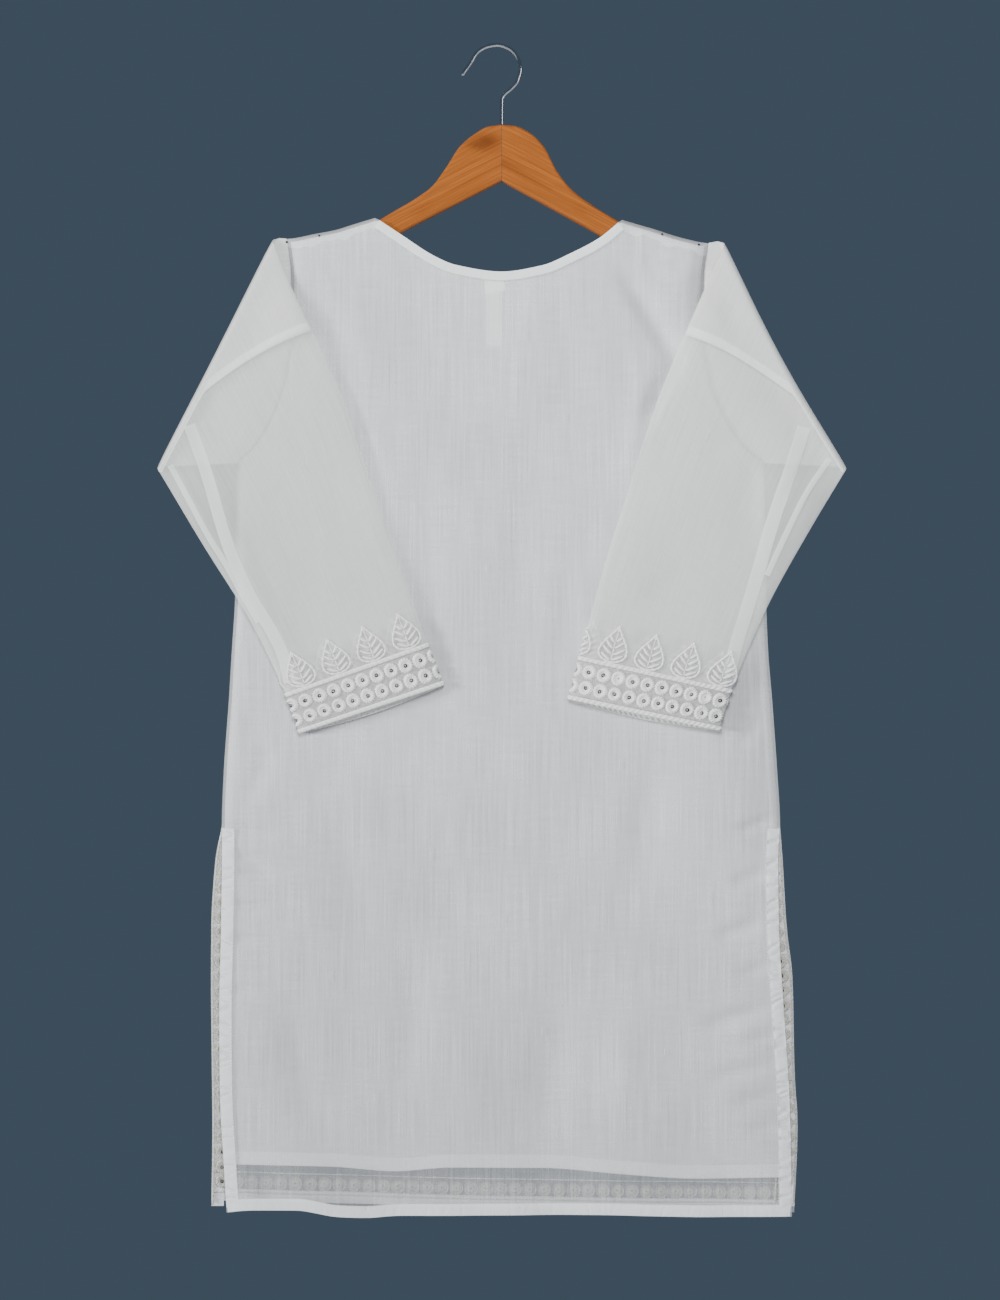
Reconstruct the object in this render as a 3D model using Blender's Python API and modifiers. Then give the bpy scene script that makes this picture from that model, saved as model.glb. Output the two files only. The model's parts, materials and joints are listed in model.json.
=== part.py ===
"""A white lined kurta tunic hanging flat on a wooden hanger, seen from its back.

World frame: metres, +Z up, origin at the hook's inner top, where something holds it up.
The garment's back faces -Y and its front faces +Y. Tables and functions below work in
millimetres, with "drop" the distance below the origin; MM turns them into metres.
"""
import math
from collections import namedtuple

import bmesh
import bpy
import numpy as np
from mathutils import Vector

MM = 0.001
COLLECTION = "kurta_tunic"

# Cloth
WALL = 1.0
SEAM_GAP = 0.3
LAYER = WALL + SEAM_GAP

# Depth of the hanging body, from its mid plane to the outer face of a panel
RIDGE_HALF = 0.3
ROOF_RADIUS = 10.0
SHOULDER_DEPTH = 8.0
CHEST_DEPTH = 6.3
HEM_DEPTH = 6.0
SIDE_SEAM_DEPTH = WALL + SEAM_GAP / 2
SLIT_EDGE_DEPTH = 2.6
SHOULDER_ROUNDING = 16.0
BODY_ROUNDING = 50.0
CHEST_DROP = 265.0
SHOULDER_LEVEL = 200.0
NECK_RIDGE_SLOPE = 0.53

# Levels
UNDERARM_DROP = 374.6
SLIT_TOP_DROP = 697.7
HEM_DROP = 1050.0

# Folded sleeves
TUBE_EDGE_DEPTH = 1.5
ARMHOLE_DEPTH = 2.8
FOLD_DEPTH = 2.4
SLEEVE_DEPTH = 3.4
FOLD_RADIUS = 3.0
FLAP_REST = 6.7
FLAP_REACH = 55.0
CUFF_LIFT = 1.6
TOP_EDGE_SHIFT = 8.6
UNDER_EDGE_SHIFT = 6.6
CUFF_LIP = 4.0
CUFF_HEIGHT = 34.0
PIPING_WIDTH = 4.0
PIPING_BULGE = 1.1

# Small pieces
FACING_WIDTH = 9.0
FACING_START = 0.075
FACING_STEPS = 22
LINING_TOP = 8.0
LINING_NECK_GAP = 1.4
LINING_GAP = 0.5
LABEL_LEFT = -10.7
LABEL_RIGHT = 5.9
LABEL_TOP = 212.5
LABEL_BOTTOM = 270.8

# Hanger
HANGER_CENTRE = 3.7
HANGER_HALF_THICKNESS = 5.0
HANGER_EDGE_RADIUS = 3.0
HOOK_WIRE_RADIUS = 1.75

Point = namedtuple("Point", "x drop")
Sides = namedtuple("Sides", "drop left right")
Hem = namedtuple("Hem", "x drop")
Fold = namedtuple("Fold", "centre width height start")
Station = namedtuple("Station", "reach top_left top_right bottom_left bottom_right")
Sleeve = namedtuple("Sleeve", "name sign fold_top fold_bottom bow inner outer cuff_inner cuff_outer")
Panel = namedtuple("Panel", "name facing sides neck hem folds yoke_step yoke_rows columns")

SHOULDER = [
    Point(-203.0, 173.6), Point(-188.6, 173.0), Point(-163.3, 168.4), Point(-145.3, 164.9),
    Point(-131.0, 160.4), Point(-110.2, 154.1), Point(112.0, 155.9), Point(127.4, 160.4),
    Point(140.0, 164.0), Point(162.5, 171.2), Point(189.5, 177.0), Point(203.8, 178.0),
]
NECK_LEFT = -110.2
NECK_RIGHT = 112.0
ARMHOLE_TOP_LEFT = Point(-189.0, 173.0)
ARMHOLE_TOP_RIGHT = Point(189.5, 177.0)

BACK_NECK = [
    Point(-110.2, 154.1), Point(-88.7, 168.5), Point(-54.9, 190.1), Point(-37.4, 197.2),
    Point(3.7, 203.2), Point(40.1, 197.6), Point(65.2, 187.0), Point(91.4, 173.0), Point(112.0, 155.9),
]
FRONT_NECK = [
    Point(-110.2, 154.1), Point(-102.7, 167.2), Point(-90.2, 193.2), Point(-69.8, 222.0),
    Point(-33.8, 242.5), Point(2.2, 248.6), Point(36.0, 243.0), Point(71.5, 222.0),
    Point(92.0, 195.0), Point(104.5, 169.0), Point(112.0, 155.9),
]

ARMHOLE_SIDES = [
    Sides(173.0, -189.0, 190.0), Sides(177.0, -188.5, 189.5), Sides(206.0, -185.5, 185.5),
    Sides(246.0, -185.5, 184.6), Sides(291.0, -190.3, 189.5), Sides(331.0, -203.0, 203.8),
    Sides(361.0, -221.0, 223.7), Sides(374.6, -233.6, 239.0), Sides(426.0, -234.9, 240.6),
    Sides(498.0, -236.2, 241.7), Sides(543.0, -239.0, 243.5), Sides(588.0, -241.7, 247.1),
    Sides(651.0, -246.2, 251.6), Sides(697.7, -248.0, 254.2),
]
BACK_SLIT_SIDES = [
    Sides(732.0, -248.0, 252.5), Sides(792.0, -248.8, 253.3), Sides(871.0, -250.4, 257.9),
    Sides(940.0, -249.8, 262.4), Sides(1003.0, -246.5, 264.2), Sides(1050.0, -243.5, 264.6),
]
FRONT_SLIT_SIDES = [
    Sides(732.0, -254.2, 256.9), Sides(792.0, -257.9, 260.6), Sides(840.0, -258.2, 265.9),
    Sides(924.0, -257.4, 267.8), Sides(971.0, -257.0, 270.4), Sides(1050.0, -257.9, 267.3),
]

BACK_HEM = [
    Hem(-243.5, 1048.7), Hem(-218.2, 1046.4), Hem(-181.3, 1046.4), Hem(-141.8, 1052.3),
    Hem(-118.4, 1053.2), Hem(-87.8, 1051.4), Hem(92.2, 1050.5), Hem(134.6, 1051.4),
    Hem(191.2, 1052.3), Hem(265.1, 1052.3),
]
FRONT_HEM = [Hem(-257.9, 1038.8), Hem(5.0, 1046.0), Hem(267.3, 1049.6)]
LINING_HEM = [Hem(-236.2, 1005.5), Hem(3.1, 1011.8), Hem(249.8, 1017.2)]

BACK_FOLDS = [
    Fold(-170.0, 26.0, 1.1, 740.0), Fold(-95.0, 34.0, -1.0, 690.0), Fold(-20.0, 30.0, 0.9, 800.0),
    Fold(60.0, 38.0, -1.1, 720.0), Fold(140.0, 28.0, 1.2, 780.0), Fold(205.0, 22.0, -0.8, 820.0),
]
FRONT_FOLDS = [
    Fold(-185.0, 30.0, -1.0, 700.0), Fold(-110.0, 28.0, 1.2, 760.0), Fold(-30.0, 36.0, -0.9, 660.0),
    Fold(45.0, 26.0, 1.0, 800.0), Fold(115.0, 34.0, -1.1, 700.0), Fold(190.0, 24.0, 1.0, 760.0),
]

# Reach is measured from the mitre joint out along an arm
ARM_STATIONS = [
    Station(0.15, 70.4, 70.4, 121.4, 121.4), Station(12.0, 72.2, 71.6, 127.5, 128.0),
    Station(24.0, 78.6, 76.9, 133.6, 134.6), Station(37.5, 90.0, 89.5, 140.5, 142.0),
    Station(50.0, 109.1, 112.5, 146.9, 149.0), Station(63.0, 126.3, 128.8, 153.5, 156.1),
    Station(79.0, 137.9, 141.2, 161.7, 164.9), Station(98.0, 149.0, 153.2, 171.4, 175.4),
    Station(115.0, 158.8, 162.6, 179.6, 183.6), Station(135.0, 166.2, 169.6, 187.4, 191.4),
    Station(152.0, 171.0, 174.2, 192.2, 196.0), Station(164.0, 175.0, 178.2, 194.0, 197.8),
    Station(169.5, 179.0, 182.2, 191.4, 195.2),
]

HOOK_PATH = [
    Point(-32.2, 25.9), Point(-23.4, 13.2), Point(-17.6, 4.4), Point(-8.0, -0.6), Point(0.0, -1.75),
    Point(10.7, 1.6), Point(17.8, 9.3), Point(20.7, 20.0), Point(18.4, 29.8), Point(11.7, 38.1),
    Point(6.2, 42.8), Point(3.9, 48.0), Point(3.7, 70.0),
]

LEFT_SLEEVE = Sleeve(
    "left", -1, Point(-203.0, 173.9), Point(-306.5, 378.2), 1.0,
    [
        Point(-184.1, 218.9), Point(-167.0, 254.9), Point(-150.8, 290.9), Point(-137.2, 321.0),
        Point(-125.5, 358.4), Point(-114.8, 391.0), Point(-96.8, 444.0), Point(-77.0, 498.0),
        Point(-62.5, 538.4),
    ],
    [Point(-263.2, 450.2), Point(-222.8, 515.0), Point(-204.0, 552.0), Point(-189.5, 583.4)],
    Point(-49.1, 572.6), Point(-177.8, 615.8))
RIGHT_SLEEVE = Sleeve(
    "right", 1, Point(204.8, 176.6), Point(314.3, 378.2), 5.0,
    [
        Point(182.2, 227.0), Point(164.2, 268.4), Point(147.2, 309.8), Point(130.1, 358.4),
        Point(114.8, 407.9), Point(102.2, 446.0), Point(92.2, 480.0), Point(82.0, 518.0),
        Point(73.4, 550.1),
    ],
    [Point(277.7, 439.4), Point(245.2, 497.9), Point(226.0, 540.0), Point(209.2, 579.8)],
    Point(64.4, 585.2), Point(199.3, 613.1))

SECTION_STEPS = 10
BEND_STEPS = 6
STUB_RINGS = [0.0, 0.5]
FLAP_RINGS = [0.0, 0.03, 0.07, 0.12, 0.19, 0.28, 0.38, 0.5, 0.62, 0.74, 0.84, 0.92, 1.0]

# A yoke line crosses each panel below its neck, at one of the section's steps down the armhole
BACK_YOKE_STEP = 4
BACK_YOKE_ROWS = [0.0, 0.0045, 0.016, 0.04, 0.07, 0.115, 0.16, 0.275, 0.597]
FRONT_YOKE_STEP = 5
FRONT_YOKE_ROWS = [0.0, 0.005, 0.014, 0.029, 0.049, 0.08, 0.115, 0.191, 0.412, 0.69]
BACK_ROWS = [
    405.0, 445.0, 490.0, 540.0, 590.0, 645.0, 697.7, 712.0, 735.0, 775.0, 820.0, 870.0, 925.0,
    975.0, 1012.0, 1034.0,
]
FRONT_ROWS = [420.0, 480.0, 540.0, 610.0, 697.7, 712.0, 740.0, 800.0, 870.0, 940.0, 1000.0]
BACK_COLUMNS = [
    -189.0, -184.5, -177.0, -164.0, -147.0, -129.0, -110.2, -109.2, -107.6, -103.0, -88.0, -62.0, -34.0,
    3.0, 36.0, 64.0, 89.0, 104.6, 109.3, 111.0, 112.0, 130.0, 148.0, 165.0, 177.5, 185.0, 189.5,
]
FRONT_COLUMNS = [
    -189.0, -184.5, -172.0, -152.0, -131.0, -110.2, -109.8, -109.2, -108.0, -105.0, -97.0, -80.0, -48.0,
    3.0, 52.0, 82.0, 98.0, 106.0, 109.4, 110.7, 111.5, 112.0, 132.0, 153.0, 172.5, 185.0, 189.5,
]
LINING_FIRST_COLUMN = 2
LINING_YOKE_ROWS = [0.0, 0.12, 0.35, 0.65]
LINING_LAST_ROW = 975.0

# Where the lining sleeve ends along the overarm edge, as a share of the folded flap
LINING_SLEEVE_END = 0.215
LINING_SLEEVE_FOLD_SHARE = 0.66
LINING_SLEEVE_MARGIN = 0.06
LINING_SLEEVE_GAP = 0.5

COTTON = ((0.86, 0.87, 0.88), 0.85, 0.0)
SLEEVE_COTTON = ((0.87, 0.88, 0.87), 0.85, 0.0)
LINING_COTTON = ((0.93, 0.93, 0.93), 0.9, 0.0)
NET = ((0.82, 0.82, 0.80), 0.8, 0.0)
PIPING_COTTON = ((0.94, 0.94, 0.93), 0.8, 0.0)
VARNISHED_WOOD = ((0.55, 0.25, 0.09), 0.35, 0.0)
CHROME = ((0.75, 0.76, 0.78), 0.15, 1.0)


def smooth(value):
    """Ease from 0 to 1."""
    t = min(1.0, max(0.0, value))
    return t * t * (3.0 - 2.0 * t)


def mix(a, b, t):
    return a + (b - a) * t


def mix_points(a, b, t):
    return Point(mix(a.x, b.x, t), mix(a.drop, b.drop, t))


def monotone_curve(keys, values):
    """Smooth curve through the values that doesn't overshoot between its keys."""
    keys = np.asarray(keys, float)
    values = np.asarray(values, float)
    steps = np.diff(keys)
    slopes = np.diff(values) / steps
    tangents = np.zeros(len(keys))
    tangents[0] = slopes[0]
    tangents[-1] = slopes[-1]
    for i in range(1, len(keys) - 1):
        before, after = slopes[i - 1], slopes[i]
        if before * after > 0:
            tangents[i] = 2 * before * after / (before + after)

    def value_at(key):
        key = min(max(key, keys[0]), keys[-1])
        i = min(int(np.searchsorted(keys, key, side="right")) - 1, len(steps) - 1)
        t = (key - keys[i]) / steps[i]
        h00 = (1 + 2 * t) * (1 - t) ** 2
        h10 = t * (1 - t) ** 2
        h01 = t * t * (3 - 2 * t)
        h11 = t * t * (t - 1)
        start = h00 * values[i] + h10 * steps[i] * tangents[i]
        end = h01 * values[i + 1] + h11 * steps[i] * tangents[i + 1]
        return float(start + end)

    return value_at


def route(points):
    """Point at a share of the length of a smooth line through the points."""
    lengths = [0.0]
    for a, b in zip(points, points[1:]):
        lengths.append(lengths[-1] + math.hypot(b.x - a.x, b.drop - a.drop))
    x_at = monotone_curve(lengths, [p.x for p in points])
    drop_at = monotone_curve(lengths, [p.drop for p in points])
    total = lengths[-1]
    return lambda share: Point(x_at(share * total), drop_at(share * total))


def line_through(points):
    return monotone_curve([p.x for p in points], [p.drop for p in points])


SHOULDER_LINE_LEFT = line_through([p for p in SHOULDER if p.x <= NECK_LEFT])
SHOULDER_LINE_RIGHT = line_through([p for p in SHOULDER if p.x >= NECK_RIGHT])


def ridge(x):
    """Drop of the shoulder seam, carried on up the hanger inside the neck."""
    if x <= NECK_LEFT:
        return SHOULDER_LINE_LEFT(x)
    if x >= NECK_RIGHT:
        return SHOULDER_LINE_RIGHT(x)
    left = SHOULDER_LINE_LEFT(NECK_LEFT) - (x - NECK_LEFT) * NECK_RIDGE_SLOPE
    right = SHOULDER_LINE_RIGHT(NECK_RIGHT) - (NECK_RIGHT - x) * NECK_RIDGE_SLOPE
    return max(left, right)


def section_depth(share, depth):
    """Half thickness of a flat tube at a share of its width."""
    roundness = math.sqrt(max(0.0, 1.0 - abs(2.0 * share - 1.0) ** 4))
    return TUBE_EDGE_DEPTH + (depth - TUBE_EDGE_DEPTH) * roundness


def armhole_share(drop, top):
    return (drop - top.drop) / (UNDERARM_DROP - top.drop)


class BodyPanel:
    """One panel of the body: its outline and its outer face."""

    def __init__(self, panel):
        self.panel = panel
        drops = [row.drop for row in panel.sides]
        self.left = monotone_curve(drops, [row.left for row in panel.sides])
        self.right = monotone_curve(drops, [row.right for row in panel.sides])
        self.neck = line_through(panel.neck)
        self.hem = line_through(panel.hem)

    def top(self, x):
        if NECK_LEFT < x < NECK_RIGHT:
            return self.neck(x)
        return ridge(x)

    def edge_depth(self, drop, top):
        if drop <= UNDERARM_DROP:
            return section_depth(max(0.0, armhole_share(drop, top)), ARMHOLE_DEPTH)
        seam = mix(TUBE_EDGE_DEPTH, SIDE_SEAM_DEPTH, smooth((drop - UNDERARM_DROP) / 20.0))
        return mix(seam, SLIT_EDGE_DEPTH, smooth((drop - SLIT_TOP_DROP) / 60.0))

    def full_depth(self, x, drop):
        past_shoulder = smooth((drop - SHOULDER_LEVEL) / (CHEST_DROP - SHOULDER_LEVEL))
        upper = mix(SHOULDER_DEPTH, CHEST_DEPTH, past_shoulder)
        depth = mix(upper, HEM_DEPTH, smooth((drop - SLIT_TOP_DROP) / (HEM_DROP - SLIT_TOP_DROP)))
        for fold in self.panel.folds:
            across = math.exp(-((x - fold.centre) / fold.width) ** 2)
            depth += fold.height * across * smooth((drop - fold.start) / (HEM_DROP - fold.start))
        return depth

    def depth(self, x, drop):
        """Distance of the outer face from the mid plane."""
        from_left = x - self.left(drop)
        from_right = self.right(drop) - x
        inside = max(0.0, min(from_left, from_right))
        top = ARMHOLE_TOP_LEFT if from_left < from_right else ARMHOLE_TOP_RIGHT
        rounding = mix(SHOULDER_ROUNDING, BODY_ROUNDING, smooth((drop - 190.0) / 80.0))
        edge = self.edge_depth(drop, top)
        rise = math.sin(math.pi / 2 * min(1.0, inside / rounding))
        lateral = edge + (self.full_depth(x, drop) - edge) * rise
        below = max(0.0, drop - ridge(x))
        if below >= ROOF_RADIUS:
            return lateral
        roof = math.sqrt(1.0 - (1.0 - below / ROOF_RADIUS) ** 2)
        seam = mix(SIDE_SEAM_DEPTH, RIDGE_HALF, smooth((lateral - 2.5) / 4.0))
        return seam + (lateral - seam) * roof

    def outer(self, x, drop):
        return Vector((x, self.panel.facing * self.depth(x, drop), -drop))

    def inside(self, x, drop, distance):
        """Point a distance in from the outer face, square to it."""
        step = 1.0
        across = self.outer(x + step, drop) - self.outer(x - step, drop)
        down = self.outer(x, drop + step) - self.outer(x, drop - step)
        normal = across.cross(down).normalized()
        if normal.y * self.panel.facing > 0:
            normal = -normal
        return self.outer(x, drop) + normal * distance


def clear_scene():
    for item in list(bpy.data.objects):
        bpy.data.objects.remove(item, do_unlink=True)
    for item in list(bpy.data.collections):
        bpy.data.collections.remove(item)
    collection = bpy.data.collections.new(COLLECTION)
    bpy.context.scene.collection.children.link(collection)
    return collection


def make_material(name, look):
    colour, roughness, metallic = look
    material = bpy.data.materials.new(name + "_material")
    material.use_nodes = True
    shader = material.node_tree.nodes["Principled BSDF"]
    shader.inputs["Base Color"].default_value = (*colour, 1.0)
    shader.inputs["Roughness"].default_value = roughness
    shader.inputs["Metallic"].default_value = metallic
    return material


def add_mesh(collection, name, build, look, smooth_angle=50.0):
    mesh = bpy.data.meshes.new(name)
    build.to_mesh(mesh)
    build.free()
    mesh.shade_smooth()
    mesh.set_sharp_from_angle(angle=math.radians(smooth_angle))
    item = bpy.data.objects.new(name, mesh)
    collection.objects.link(item)
    mesh.materials.append(make_material(name, look))
    return item


def add_wall(item, thickness, even=False):
    """Turn an open surface into cloth, with the wall inside it."""
    solid = item.modifiers.new("wall", "SOLIDIFY")
    solid.thickness = thickness * MM
    solid.offset = -1.0
    solid.use_even_offset = even
    solid.use_rim = True
    return solid


def grid_surface(columns, rows, place, wrap=False):
    """Grid whose points place(column, row) puts in space; a wrapped one closes into a tube."""
    build = bmesh.new()
    bmesh.ops.create_grid(build, x_segments=columns - 1, y_segments=rows - 1, size=1.0)
    build.verts.ensure_lookup_table()
    for vert in build.verts:
        column = round((vert.co.x + 1.0) / 2.0 * (columns - 1))
        row = round((vert.co.y + 1.0) / 2.0 * (rows - 1))
        vert.co = place(column, row) * MM
    if wrap:
        bmesh.ops.remove_doubles(build, verts=build.verts, dist=1e-6)
    return build


def face_towards(build, direction):
    """Turn an open sheet's faces to look along the direction."""
    build.normal_update()
    if sum(face.calc_area() * face.normal.dot(direction) for face in build.faces) < 0:
        bmesh.ops.reverse_faces(build, faces=build.faces)
    build.normal_update()


def face_outward(build):
    """Turn a folded sleeve's faces so that the one nearest the viewer, at -Y, faces the viewer."""
    build.normal_update()
    level = [face for face in build.faces if abs(face.normal.y) > 0.8]
    nearest = min(level, key=lambda face: face.calc_center_median().y)
    if nearest.normal.y > 0:
        bmesh.ops.reverse_faces(build, faces=build.faces)
    build.normal_update()


def section_shares():
    return [(1.0 - math.cos(math.pi * k / SECTION_STEPS)) / 2.0 for k in range(SECTION_STEPS + 1)]


def body_row_levels(panel, lower_rows):
    """Level of each row at the left and the right edge, down to the hem's own row."""
    shares = section_shares()
    yoke = shares[panel.yoke_step]
    levels = [share * yoke for share in panel.yoke_rows] + shares[panel.yoke_step:]
    rows = []
    for share in levels:
        left = mix(ARMHOLE_TOP_LEFT.drop, UNDERARM_DROP, share)
        right = mix(ARMHOLE_TOP_RIGHT.drop, UNDERARM_DROP, share)
        rows.append((left, right, share / yoke))
    for level in lower_rows:
        rows.append((level, level, None))
    return rows


def body_point(body, rows, column, row):
    """Point on a panel's outline grid, as x and drop."""
    columns = body.panel.columns
    start = columns[column]
    share = (start - columns[0]) / (columns[-1] - columns[0])
    top = body.top(start)
    if row == len(rows):
        drop = HEM_DROP
    else:
        left, right, above_yoke = rows[row]
        drop = mix(left, right, share)
        if above_yoke is not None and above_yoke < 1.0:
            yoke_row = len(body.panel.yoke_rows)
            yoke = mix(rows[yoke_row][0], rows[yoke_row][1], share)
            drop = mix(top, yoke, above_yoke)
    left_move = body.left(drop) - body.left(max(top, ARMHOLE_TOP_LEFT.drop))
    right_move = body.right(max(drop, ARMHOLE_TOP_RIGHT.drop)) - body.right(max(top, ARMHOLE_TOP_RIGHT.drop))
    x = start + left_move * (1.0 - share) + right_move * share
    if row == len(rows):
        drop = body.hem(x)
    return x, drop


def build_panel(collection, body, lower_rows, look):
    rows = body_row_levels(body.panel, lower_rows)

    def place(column, row):
        x, drop = body_point(body, rows, column, row)
        return body.outer(x, drop)

    build = grid_surface(len(body.panel.columns), len(rows) + 1, place)
    face_towards(build, Vector((0.0, body.panel.facing, 0.0)))
    item = add_mesh(collection, body.panel.name, build, look)
    add_wall(item, WALL)


def facing_point(neck, share, width):
    """Point a width in from the neck edge, square to it."""
    at = neck(share)
    before = neck(share - 0.004)
    after = neck(share + 0.004)
    length = math.hypot(after.x - before.x, after.drop - before.drop)
    across = Point(-(after.drop - before.drop) / length, (after.x - before.x) / length)
    return Point(at.x + across.x * width, at.drop + across.drop * width)


def facing_shares():
    return [mix(FACING_START, 1.0 - FACING_START, step / FACING_STEPS) for step in range(FACING_STEPS + 1)]


def build_neck_facing(collection, body, name):
    """Strip inside the neck edge, a facing's width deep."""
    neck = route(body.panel.neck)
    shares = facing_shares()

    def place(column, row):
        point = facing_point(neck, shares[column], FACING_WIDTH * row / 2)
        return body.inside(point.x, point.drop, LAYER)

    build = grid_surface(len(shares), 3, place)
    face_towards(build, Vector((0.0, body.panel.facing, 0.0)))
    item = add_mesh(collection, name, build, LINING_COTTON)
    add_wall(item, WALL)


def build_lining(collection, body):
    """Lining of the back, one layer in from the panel, from under the facing to its own hem."""
    hem = line_through(LINING_HEM)
    neck = route(body.panel.neck)
    facing_edge = [facing_point(neck, share, FACING_WIDTH) for share in facing_shares()]
    facing_line = line_through(facing_edge)
    levels = body_row_levels(body.panel, BACK_ROWS)
    yoke_row = len(body.panel.yoke_rows)
    lower = [row for row in range(yoke_row, len(levels)) if levels[row][0] <= LINING_LAST_ROW]
    last = len(body.panel.columns) - 1 - LINING_FIRST_COLUMN
    count = last - LINING_FIRST_COLUMN + 1
    slope = abs(facing_edge[1].drop - facing_edge[0].drop) / (facing_edge[1].x - facing_edge[0].x)

    def neck_limit(x):
        outside = max(facing_edge[0].x - x, x - facing_edge[-1].x, 0.0)
        return facing_line(x) + LINING_NECK_GAP - outside * slope

    def place(column, row):
        grid_column = column + LINING_FIRST_COLUMN
        if row < len(LINING_YOKE_ROWS):
            start = body.panel.columns[grid_column]
            top = max(ridge(start) + LINING_TOP, neck_limit(start))
            x, yoke = body_point(body, levels, grid_column, yoke_row)
            share = LINING_YOKE_ROWS[row]
            return body.inside(mix(start, x, share), mix(top, yoke, share), WALL + LINING_GAP)
        if row - len(LINING_YOKE_ROWS) < len(lower):
            grid_row = lower[row - len(LINING_YOKE_ROWS)]
            x, drop = body_point(body, levels, grid_column, grid_row)
            return body.inside(x, drop, WALL + LINING_GAP)
        x, drop = body_point(body, levels, grid_column, lower[-1] + 1)
        return body.inside(x, hem(x), WALL + LINING_GAP)

    build = grid_surface(count, len(LINING_YOKE_ROWS) + len(lower) + 1, place)
    face_towards(build, Vector((0.0, body.panel.facing, 0.0)))
    item = add_mesh(collection, "lining_back", build, LINING_COTTON)
    add_wall(item, WALL)


def build_label(collection, body):
    """Blank label hanging inside the back neck."""
    columns = 2
    rows = 5

    def place(column, row):
        x = mix(LABEL_LEFT, LABEL_RIGHT, column / columns)
        drop = mix(LABEL_TOP, LABEL_BOTTOM, row / rows)
        return body.inside(x, drop, WALL + LINING_GAP + LAYER)

    build = grid_surface(columns + 1, rows + 1, place)
    face_towards(build, Vector((0.0, body.panel.facing, 0.0)))
    item = add_mesh(collection, "label", build, LINING_COTTON)
    add_wall(item, WALL)


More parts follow.
